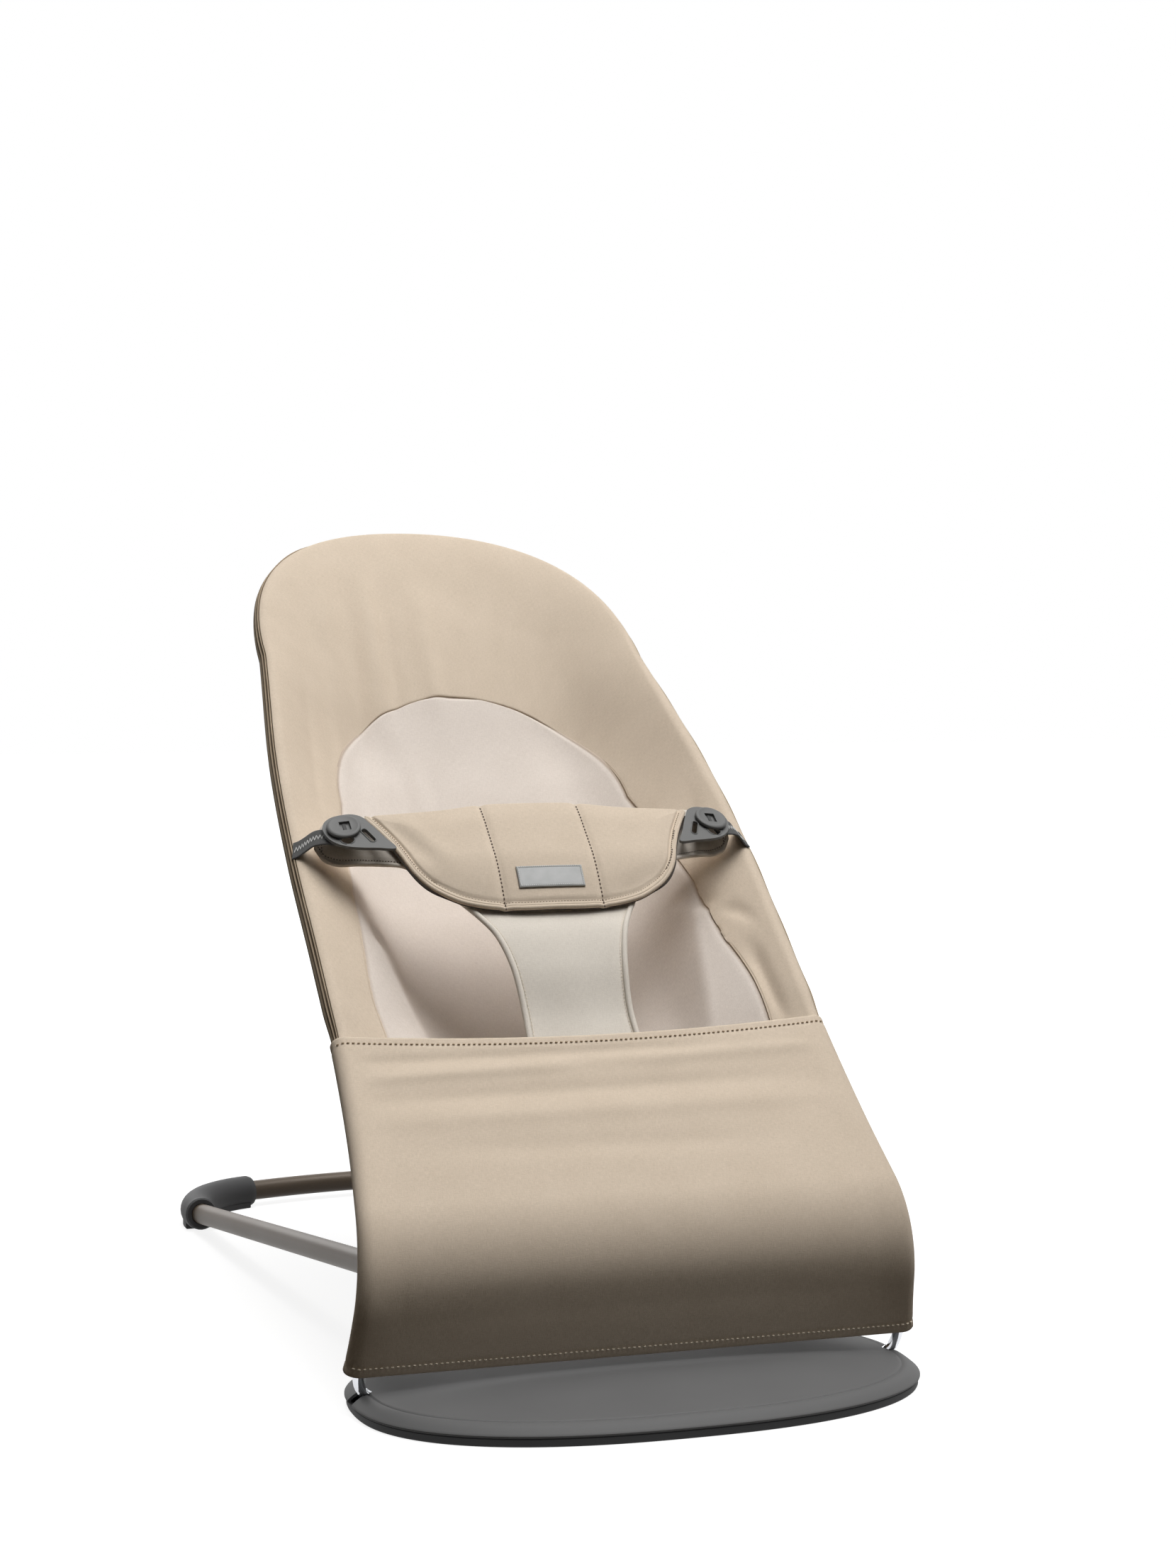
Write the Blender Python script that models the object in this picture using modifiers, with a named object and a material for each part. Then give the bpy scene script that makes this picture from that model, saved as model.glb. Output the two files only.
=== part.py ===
"""Baby bouncer: a fabric sling on a sprung wire frame, a folding tube leg and a flat base plate.

X runs across the bouncer, +Y to its back and +Z up. The origin is on the floor under the base plate,
on the plane of symmetry. All sizes are in metres.
"""

import math

import bpy
import numpy as np

# Working clearance between pieces that touch or nearly touch
GAP = 0.0003

# Base plate
PLATE_HALF_WIDTH = 0.1864
PLATE_HALF_DEPTH = 0.1136
PLATE_POWER = 2.40
SOLE_RIM_HEIGHT = 0.0053
SOLE_FLOOR = 0.0030
SOLE_INSET = 0.0012
SOLE_RIM_WIDTH = 0.0032
CARRIER_THICKNESS = 0.0009
COVER_WALL = 0.0020
COVER_EDGE_HEIGHT = 0.0015
CREASE_INSET = 0.0115
CREASE_HEIGHT = 0.0075
DOME_HEIGHT = 0.0065
DOME_POWER = 2.5
BOSS_X = 0.115
BOSS_Y = 0.055
BOSS_RADIUS = 0.0042
SCREW_RADIUS = 0.0015
SCREW_HEAD_RADIUS = 0.0038
SCREW_HEAD_HEIGHT = 0.0020
SCREW_LENGTH = 0.0085
SADDLE_X = 0.078
SADDLE_LENGTH = 0.026
SADDLE_WIDTH = 0.028
SADDLE_HEIGHT = 0.0098

# Spring wire frame, in side view from the base plate over the knee to the head
WIRE_RADIUS = 0.0035
AXLE_Y = 0.003
CROSS_WIRE_HALF = PLATE_HALF_WIDTH - 0.0234
RISER_START = 0.016
SHIN_LEAN = math.radians(17)
SHIN_LENGTH = 0.055
KNEE_RADIUS = 0.058
BACK_ANGLE = math.radians(41.4)
BACK_LENGTH = 0.600
BACK_CURL = 0.20
HEAD_LENGTH = 0.128
HEAD_CURL = 1.60
RAIL_HALF = (
    (0.0, PLATE_HALF_WIDTH - 0.0034),
    (0.10, 0.1755),
    (0.17, 0.1690),
    (0.24, 0.1655),
    (0.33, 0.1645),
    (0.43, 0.1640),
    (0.52, 0.1600),
)
SHOULDER_HALF = 0.1442
HEAD_DEPTH = 0.185
HEAD_POWER = 2.14

# Sling, cut as a beige cover with a light arched panel sewn in
CLOTH = 0.0022
SLEEVE_RADIUS = 0.0080
SEAM_AT = 0.262
SLING_INSET = 0.0045
SLING_FRONT = 0.150
SLING_TUCK_HALF = 0.148
SLING_SHARES = (0.0, 0.3, 0.55, 0.8, 1.0)
SLING_DEPTH = (
    (0.177, 0.0140, 0.0125, 0.0090, 0.0040, 0.0),
    (0.235, 0.0450, 0.0400, 0.0270, 0.0045, 0.0),
    (0.306, 0.0750, 0.0680, 0.0460, 0.0020, 0.0),
    (0.353, 0.0830, 0.0750, 0.0530, 0.0035, 0.0),
    (0.412, 0.0850, 0.0770, 0.0560, 0.0085, 0.0),
    (0.471, 0.0780, 0.0710, 0.0550, 0.0125, 0.0),
    (0.530, 0.0690, 0.0640, 0.0520, 0.0168, 0.0),
    (0.589, 0.0590, 0.0560, 0.0480, 0.0215, 0.0),
    (0.648, 0.0500, 0.0480, 0.0435, 0.0240, 0.0),
    (0.706, 0.0430, 0.0425, 0.0405, 0.0210, 0.0),
    (0.765, 0.0315, 0.0312, 0.0275, 0.0130, 0.0),
    (0.848, 0.0180, 0.0170, 0.0130, 0.0065, 0.0),
    (0.942, 0.0060, 0.0055, 0.0040, 0.0020, 0.0),
    (1.0, 0.0, 0.0, 0.0, 0.0, 0.0),
)
PANEL_ARCH_DROP = 0.0082
PANEL_ARCH_HEIGHT = 0.1262
PANEL_HALF = (
    (0.255, 0.1322),
    (0.270, 0.1333),
    (0.290, 0.1346),
    (0.310, 0.1351),
    (0.330, 0.1337),
    (0.350, 0.1312),
    (0.400, 0.1281),
    (0.430, 0.1255),
    (0.460, 0.1220),
    (0.500, 0.1160),
    (0.530, 0.1105),
)
SEAM_GAP = 0.0008
ARCH_TURNS = (20, 40, 55, 70, 82)
FOLD_HEIGHT = 0.0050
FOLD_WIDTH = 0.011
FOLD_X = 0.095
FOLD_SLANT = 0.10

# Lower panel, stretched over the knee and down the shins
LOWER_CLOTH = 0.0016
HEM_AT = 0.017
PANEL_EDGE_DIP = 0.0085
LOWER_TOP = 0.260

# Waist flap and crotch panel, held off the side wires by the buckles
FLAP_HALF = 0.1185
FLAP_TOP = ((0.0, 0.4500), (0.035, 0.4495), (0.06, 0.4465), (0.1185, 0.4460))
FLAP_BOTTOM = (
    (0.0, 0.3504),
    (0.030, 0.3508),
    (0.045, 0.3530),
    (0.0565, 0.3565),
    (0.0655, 0.3607),
    (0.0735, 0.3662),
    (0.0840, 0.3750),
    (0.0905, 0.3835),
    (0.0955, 0.3935),
    (0.0990, 0.4045),
    (0.1041, 0.4183),
    (0.1110, 0.4325),
    (0.1185, 0.4455),
)
FLAP_LIFT = 0.0362
FLAP_ARCH = 0.4045
FLAP_LEAN = 0.033
FLAP_TUCK = 0.0077
FLAP_ROLL = 0.0018
FLAP_EDGE = 0.0030
FLAP_CROWN = 0.0055
CHANNEL_X = 0.0355
CHANNEL_WIDTH = 0.0045
LABEL_HALF_WIDTH = 0.0239
LABEL_LOW = 0.3690
LABEL_HIGH = 0.3855
LABEL_THICKNESS = 0.0006
CROTCH_HALF = (
    (0.200, 0.0440),
    (0.225, 0.0425),
    (0.250, 0.0402),
    (0.271, 0.0392),
    (0.290, 0.0398),
    (0.308, 0.0417),
    (0.324, 0.0448),
    (0.340, 0.0496),
    (0.355, 0.0567),
    (0.372, 0.0660),
)
CROTCH_DEPTH = (
    (0.200, 0.0200),
    (0.225, 0.0090),
    (0.245, 0.0010),
    (0.275, -0.0050),
    (0.310, -0.0165),
    (0.338, -0.0206),
    (0.350, -0.0200),
    (0.372, -0.0180),
)
CROTCH_THICKNESS = 0.0028

# Buckles: a keyhole plate on the flap's end and a disc button on an elastic strap
BUTTON_X = 0.1349
BUTTON_AT = 0.4337
BUTTON_LIFT = 0.0327
BUTTON_RADIUS = 0.0119
BUTTON_THICKNESS = 0.0030
BUTTON_NECK = 0.0024
BUTTON_FOOT_RADIUS = 0.0040
BUTTON_FOOT_THICKNESS = 0.0012
BUTTON_WINDOW = (0.0068, 0.0092)
BUTTON_BAR = 0.0028
BUTTON_TRAVEL = 0.0115
BUCKLE_ROLL = 0.125
BUCKLE_PITCH = 0.058
PLATE_THICKNESS = 0.0024
PLATE_OUTLINE = (
    (0.1040, 0.4075),
    (0.1170, 0.4100),
    (0.1260, 0.4118),
    (0.1348, 0.4145),
    (0.1415, 0.4183),
    (0.1463, 0.4236),
    (0.1489, 0.4300),
    (0.1496, 0.4370),
    (0.1472, 0.4432),
    (0.1420, 0.4474),
    (0.1350, 0.4490),
    (0.1262, 0.4484),
    (0.1215, 0.4455),
    (0.1165, 0.4365),
    (0.1095, 0.4205),
)
STITCH_SLOT = ((0.1221, 0.4292), (0.1180, 0.4188))
STITCH_SLOT_HALF = 0.0019
STRAP_WIDTH = 0.0118
STRAP_THICKNESS = 0.0012
STRAP_INNER = (0.1385, 0.4300)
STRAP_OUTER = (0.1670, 0.4365)
STRAP_LIFT = ((0.138, 0.0230), (0.149, 0.0228), (0.1565, 0.0190), (0.1620, 0.0120), (0.1648, 0.0087), (0.168, 0.0083))
TAB_EDGE = (
    (0.0900, 0.3960, -0.0215),
    (0.0980, 0.3992, -0.0240),
    (0.1120, 0.4070, -0.0190),
    (0.1250, 0.4147, -0.0125),
    (0.1426, 0.4220, -0.0070),
    (0.1480, 0.4250, -0.0080),
    (0.1525, 0.4330, -0.0105),
)
TAB_TOP = (
    (0.0900, 0.4430, -0.0215),
    (0.1040, 0.4460, -0.0255),
    (0.1180, 0.4500, -0.0255),
    (0.1280, 0.4515, -0.0232),
    (0.1370, 0.4510, -0.0215),
    (0.1480, 0.4470, -0.0190),
    (0.1525, 0.4400, -0.0160),
)
TAB_THICKNESS = 0.0022

# Hinge hubs inside the knee, and the tube leg
HUB_AT = 0.0735
HUB_INSET = 0.0186
HUB_RADIUS = 0.0180
HUB_CLAMP_X = (0.1588, 0.1680)
RING_X = (0.1492, 0.1582)
RING_RADIUS = 0.0150
RING_TEETH = 18
RING_TOOTH = 0.0016
LEG_HUB_X = (0.1340, 0.1486)
PIN_RADIUS = 0.0040
PIN_HEAD_RADIUS = 0.0065
PIN_HEAD = 0.0018
LUG_RADIUS = 0.0054
LUG_LENGTH = 0.010
RELEASE_RADIUS = 0.0095
RELEASE_PROUD = 0.0060
RELEASE_DEPTH = 0.0072
RELEASE_TRAVEL = 0.0040
LEG_RADIUS = 0.0080
LEG_START = 0.021
SOCKET_RADIUS = 0.0112
SOCKET_LENGTH = 0.046
FOOT_X = 0.176
FOOT_Y = 0.569
FOOT_RADIUS = 0.0128
FOOT_FLAT = 0.0005
FOOT_BEND = 0.074
FOOT_OVERHANG = 0.010
FOOT_HEEL_HALF = 0.0105
FOOT_HEEL_HEIGHT = 0.0060
CROSSBAR_BOW = math.radians(17)

# Heights that follow from the sizes above
CARRIER_Z = SOLE_FLOOR + GAP
AXLE_Z = CARRIER_Z + CARRIER_THICKNESS + GAP + WIRE_RADIUS
COVER_Z = SOLE_RIM_HEIGHT + GAP
SHIN_START_Z = AXLE_Z + 0.003
SHIN_HEADING = math.pi / 2 + SHIN_LEAN
KNEE_ARC = KNEE_RADIUS * (SHIN_HEADING - BACK_ANGLE)
BACK_START = SHIN_LENGTH + KNEE_ARC
HEAD_AT = BACK_START + BACK_LENGTH + HEAD_LENGTH
SHOULDER_AT = HEAD_AT - HEAD_DEPTH
PANEL_TOP = SHOULDER_AT - PANEL_ARCH_DROP
ARCH_BASE = PANEL_TOP - PANEL_ARCH_HEIGHT
SIDE_ARCS = (
    (SHIN_LENGTH, 0.0),
    (KNEE_ARC, 1 / KNEE_RADIUS),
    (BACK_LENGTH, BACK_CURL),
    (HEAD_LENGTH, HEAD_CURL),
)
DISC_FOOT_LIFT = BUTTON_LIFT - BUTTON_THICKNESS
PLATE_LIFT = DISC_FOOT_LIFT - 0.0005 - PLATE_THICKNESS
FOOT_Z = FOOT_RADIUS - FOOT_FLAT


def clear_scene():
    for obj in list(bpy.data.objects):
        bpy.data.objects.remove(obj, do_unlink=True)
    for old in list(bpy.data.collections):
        bpy.data.collections.remove(old)


clear_scene()
PIECES = bpy.data.collections.new("Baby bouncer")
CUTTERS = bpy.data.collections.new("Cutters")
bpy.context.scene.collection.children.link(PIECES)
bpy.context.scene.collection.children.link(CUTTERS)


def material(name, colour, roughness, metallic=0.0):
    """A Principled material from an sRGB colour."""
    linear = [((c + 0.055) / 1.055) ** 2.4 if c > 0.04045 else c / 12.92 for c in colour]
    made = bpy.data.materials.new(name)
    made.use_nodes = True
    shader = made.node_tree.nodes["Principled BSDF"]
    shader.inputs["Base Color"].default_value = (*linear, 1.0)
    shader.inputs["Roughness"].default_value = roughness
    shader.inputs["Metallic"].default_value = metallic
    return made


BEIGE_COTTON = material("beige cotton", (0.81, 0.74, 0.64), 0.95)
LIGHT_COTTON = material("light cotton", (0.86, 0.82, 0.78), 0.95)
GREY_LABEL = material("grey woven label", (0.70, 0.70, 0.69), 0.9)
GREY_ELASTIC = material("grey elastic", (0.27, 0.28, 0.29), 0.9)
GREY_PLASTIC = material("dark grey plastic", (0.36, 0.36, 0.36), 0.5)
BLACK_RUBBER = material("black rubber", (0.15, 0.15, 0.15), 0.8)
GREY_RUBBER = material("dark grey rubber", (0.24, 0.24, 0.24), 0.7)
CHROME = material("chrome", (0.85, 0.86, 0.88), 0.12, 1.0)
STEEL = material("zinc steel", (0.70, 0.70, 0.70), 0.35, 1.0)
BRONZE_LACQUER = material("bronze grey lacquer", (0.52, 0.47, 0.42), 0.38, 0.6)


def add_object(name, data, finish=None, is_cutter=False):
    """Links an object as a visible piece, or as a hidden cutter where it has no finish."""
    obj = bpy.data.objects.new(name, data)
    if is_cutter:
        CUTTERS.objects.link(obj)
        obj.hide_render = True
        obj.display_type = "WIRE"
    else:
        PIECES.objects.link(obj)
        data.materials.append(finish)
    return obj


def mesh_of(name, points, faces):
    mesh = bpy.data.meshes.new(name)
    mesh.from_pydata([tuple(map(float, p)) for p in points], [], faces)
    mesh.update()
    return mesh


def smooth(obj, angle=35):
    obj.data.shade_smooth()
    obj.data.set_sharp_from_angle(angle=math.radians(angle))


def boolean(obj, other, operation):
    step = obj.modifiers.new(operation.lower(), "BOOLEAN")
    step.operation = operation
    step.object = other


def cut(obj, *cutters):
    for cutter in cutters:
        boolean(obj, cutter, "DIFFERENCE")


def join(obj, *others):
    for other in others:
        boolean(obj, other, "UNION")


def set_origin(obj, point):
    """Moves the origin to a point and leaves the mesh where it is."""
    offset = np.array(point, float)
    for vertex in obj.data.vertices:
        vertex.co = tuple(np.array(vertex.co) - offset)
    obj.location = point


def grid_faces(rows, columns, start=0, flip=False, closed=False):
    """Quads of a grid of points that are listed row by row."""
    faces = []
    for row in range(rows - 1):
        for column in range(columns if closed else columns - 1):
            after = (column + 1) % columns
            a, b = start + row * columns + column, start + row * columns + after
            quad = (a, b, b + columns, a + columns)
            faces.append(quad[::-1] if flip else quad)
    return faces


def closed_pad(front, back):
    """Points and faces of a pad between two grids of the same size."""
    rows, columns = front.shape[:2]
    count = rows * columns
    points = np.concatenate([front.reshape(-1, 3), back.reshape(-1, 3)])
    faces = grid_faces(rows, columns) + grid_faces(rows, columns, count, flip=True)
    border = (
        list(range(columns))
        + [row * columns + columns - 1 for row in range(1, rows)]
        + [(rows - 1) * columns + c for c in range(columns - 2, -1, -1)]
        + [row * columns for row in range(rows - 2, 0, -1)]
    )
    for a, b in zip(border, border[1:] + border[:1]):
        faces.append((b, a, a + count, b + count))
    return points, faces


def turn_outward(obj):
    """Faces of a closed mesh point out where its signed volume is positive."""
    obj.data.update()
    obj.data.calc_loop_triangles()
    corners = np.array([v.co for v in obj.data.vertices])
    triangles = np.array([t.vertices for t in obj.data.loop_triangles])
    a, b, c = (corners[triangles[:, k]] for k in range(3))
    if np.einsum("ij,ij->i", a, np.cross(b, c)).sum() < 0:
        obj.data.flip_normals()
    return obj


def tube(name, points, radius, finish=None, cyclic=False, sides=2, is_cutter=False):
    """A round tube along a poly line, as a mesh with welded caps."""
    curve = bpy.data.curves.new(name + " path", "CURVE")
    curve.dimensions = "3D"
    curve.bevel_depth = radius
    curve.bevel_resolution = sides
    curve.use_fill_caps = True
    spline = curve.splines.new("POLY")
    spline.points.add(len(points) - 1)
    for place, point in zip(spline.points, points):
        place.co = (*map(float, point), 1.0)
    spline.use_cyclic_u = cyclic
    guide = bpy.data.objects.new(name + " path", curve)
    PIECES.objects.link(guide)
    graph = bpy.context.evaluated_depsgraph_get()
    mesh = bpy.data.meshes.new_from_object(guide.evaluated_get(graph))
    mesh.name = name
    bpy.data.objects.remove(guide, do_unlink=True)
    obj = add_object(name, mesh, finish, is_cutter)
    weld = obj.modifiers.new("weld", "WELD")
    weld.merge_threshold = 0.00001
    smooth(turn_outward(obj), 50)
    return obj


def turned(name, profile, origin, axis, finish=None, steps=32, is_cutter=False):
    """A solid turned about an axis through origin: profile holds (radius, distance along the axis)."""
    axis = np.array(axis, float)
    side = np.cross(axis, (0, 0, 1) if abs(axis[2]) < 0.9 else (1, 0, 0))
    side /= np.linalg.norm(side)
    third = np.cross(axis, side)
    points, rings = [], []
    for radius, along in profile:
        centre = np.array(origin, float) + axis * along
        if radius == 0:
            rings.append([len(points)])
            points.append(centre)
            continue
        rings.append(list(range(len(points), len(points) + steps)))
        for k in range(steps):
            turn = 2 * math.pi * k / steps
            points.append(centre + radius * (side * math.cos(turn) + third * math.sin(turn)))
    faces = []
    for low, high in zip(rings, rings[1:]):
        for k in range(steps):
            n = (k + 1) % steps
            if len(low) == 1:
                faces.append((low[0], high[n], high[k]))
            elif len(high) == 1:
                faces.append((low[k], low[n], high[0]))
            else:
                faces.append((low[k], low[n], high[n], high[k]))
    if profile[0] == profile[-1]:
        first, last = rings[0], rings[-1]
        swap = dict(zip(last, first))
        faces = [tuple(swap.get(i, i) for i in face) for face in faces]
        points = points[: last[0]]
    obj = add_object(name, mesh_of(name, points, faces), finish, is_cutter)
    smooth(turn_outward(obj), 30)
    return obj


def cylinder(name, radius, start, end, finish=None, steps=32, is_cutter=False):
    start, end = np.array(start, float), np.array(end, float)
    length = float(np.linalg.norm(end - start))
    profile = [(0, 0), (radius, 0), (radius, length), (0, length)]
    axis = (end - start) / length
    return turned(name, profile, start, axis, finish, steps, is_cutter)


def box(name, low, high, finish=None, is_cutter=False):
    bpy.ops.mesh.primitive_cube_add(size=1.0)
    obj = bpy.context.object
    mesh = obj.data
    low, high = np.array(low, float), np.array(high, float)
    for vertex in mesh.vertices:
        vertex.co = tuple((low + high) / 2 + np.array(vertex.co) * (high - low))
    bpy.data.objects.remove(obj, do_unlink=True)
    mesh.name = name
    return add_object(name, mesh, finish, is_cutter)


def left_copy(obj):
    """The left-hand piece: the finished right-hand one, mirrored across the middle."""
    bpy.context.view_layer.update()
    graph = bpy.context.evaluated_depsgraph_get()
    mesh = bpy.data.meshes.new_from_object(obj.evaluated_get(graph))
    for vertex in mesh.vertices:
        vertex.co.x = -vertex.co.x
    mesh.flip_normals()
    mesh.name = obj.name.replace("right", "left")
    copy = bpy.data.objects.new(mesh.name, mesh)
    PIECES.objects.link(copy)
    copy.location = (-obj.location.x, obj.location.y, obj.location.z)


def ease(t):
    t = np.clip(t, 0.0, 1.0)
    return t * t * (3 - 2 * t)


def through(value, places, sizes):
    """A smooth curve through sizes at rising places; sizes may hold a row for each place."""
    value, places, sizes = np.asarray(value, float), np.array(places, float), np.array(sizes, float)
    if sizes.ndim == 1:
        sizes = sizes.reshape(-1, *[1] * value.ndim)
    sizes = np.broadcast_to(sizes, (len(places), *value.shape))
    slopes = np.gradient(sizes, places, axis=0)
    value = np.clip(value, places[0], places[-1])
    k = np.clip(np.searchsorted(places, value, side="right") - 1, 0, len(places) - 2)
    step = places[k + 1] - places[k]
    t = (value - places[k]) / step
    low, high = (np.take_along_axis(sizes, (k + n)[None], 0)[0] for n in (0, 1))
    start, stop = (np.take_along_axis(slopes, (k + n)[None], 0)[0] for n in (0, 1))
    rise = (3 - 2 * t) * t * t
    return low + (high - low) * rise + step * (start * t * (1 - t) ** 2 - stop * t * t * (1 - t))


def knots(value, table):
    """A smooth curve through the sizes of a table whose first column rises."""
    return through(value, *np.array(table, float).T)


def side_view(s):
    """(y, z, heading) of the wire at distance s along its path from the base plate."""
    s = np.asarray(s, float)
    y, z = np.full(s.shape, AXLE_Y), np.full(s.shape, SHIN_START_Z)
    heading, start = np.full(s.shape, SHIN_HEADING), 0.0
    for length, bend in SIDE_ARCS:
        run = np.minimum(s - start, length)
        if start > 0:
            run = np.maximum(run, 0)
        turned = heading - bend * run
        if bend:
            y = y + (np.sin(heading) - np.sin(turned)) / bend
            z = z + (np.cos(turned) - np.cos(heading)) / bend
        else:
            y, z = y + run * np.cos(heading), z + run * np.sin(heading)
        heading, start = turned, start + length
    return y, z, heading


def half_width(s, inset=0.0):
    """Half the distance between the two side wires, or between lines drawn in from them by inset."""
    s = np.asarray(s, float)
    straight = knots(s, (*RAIL_HALF, (SHOULDER_AT, SHOULDER_HALF))) - inset
    t = np.clip((s - SHOULDER_AT) / (HEAD_DEPTH - inset), 0, 1)
    return straight * (1 - t**HEAD_POWER) ** (1 / HEAD_POWER)


def place(x, s, depth):
    """Points at x across, s along the wire's path and depth below the plane of the two side wires."""
    x, s, depth = np.broadcast_arrays(np.asarray(x, float), s, depth)
    y, z, heading = side_view(s)
    return np.stack([x, y + depth * np.sin(heading), z - depth * np.cos(heading)], axis=-1)


def head_rows(turns, inset=0.0):
    """Path distances at given degrees round the head's corner."""
    return SHOULDER_AT + (HEAD_DEPTH - inset) * np.sin(np.radians(turns)) ** (2 / HEAD_POWER)


def side_wire(start, sign):
    """Points of one side wire from path distance start to the crown of the head."""
    knee = np.linspace(SHIN_LENGTH, BACK_START, 6)
    straight = np.linspace(BACK_START, SHOULDER_AT, 11)[1:]
    s = np.concatenate([knee, straight, head_rows(np.arange(10, 91, 10))])
    s = np.concatenate([[start], s[s > start + 0.004]])
    return place(sign * half_width(s), s, 0.0)


def hoop(start):
    """Both side wires and the arch of the head, as one line of points."""
    left, right = side_wire(start, -1), side_wire(start, 1)
    return np.concatenate([left, right[::-1][1:]])


def outline(inset, count=48):
    """The base plate's outline, a superellipse, drawn in by inset."""
    turn = 2 * np.pi * np.arange(count) / count
    c, s = np.cos(turn), np.sin(turn)
    x = (PLATE_HALF_WIDTH - inset) * np.sign(c) * np.abs(c) ** (2 / PLATE_POWER)
    y = (PLATE_HALF_DEPTH - inset) * np.sign(s) * np.abs(s) ** (2 / PLATE_POWER)
    return np.stack([x, y], axis=-1)


def cover_top(x, y):
    """Height of the base cover's domed field above a point of the plate."""
    across = np.abs(x) / (PLATE_HALF_WIDTH - CREASE_INSET)
    along = np.abs(y) / (PLATE_HALF_DEPTH - CREASE_INSET)
    t = (across**PLATE_POWER + along**PLATE_POWER) ** (1 / PLATE_POWER)
    return COVER_Z + CREASE_HEIGHT + DOME_HEIGHT * (1 - np.clip(t, 0, 1) ** DOME_POWER)


def ring_stack(rings, caps=(True, True)):
    """Points and faces of rings of equal count, closed by a fan to the middle of the first and last ring."""
    count = len(rings[0])
    points = np.concatenate(rings)
    faces = grid_faces(len(rings), count, closed=True)
    if caps[1]:
        faces.append(tuple((len(rings) - 1) * count + k for k in range(count)))
    if caps[0]:
        faces.append(tuple(range(count))[::-1])
    return points, faces


def lifted(flat, z):
    return np.column_stack([flat, np.full(len(flat), z)])


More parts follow.
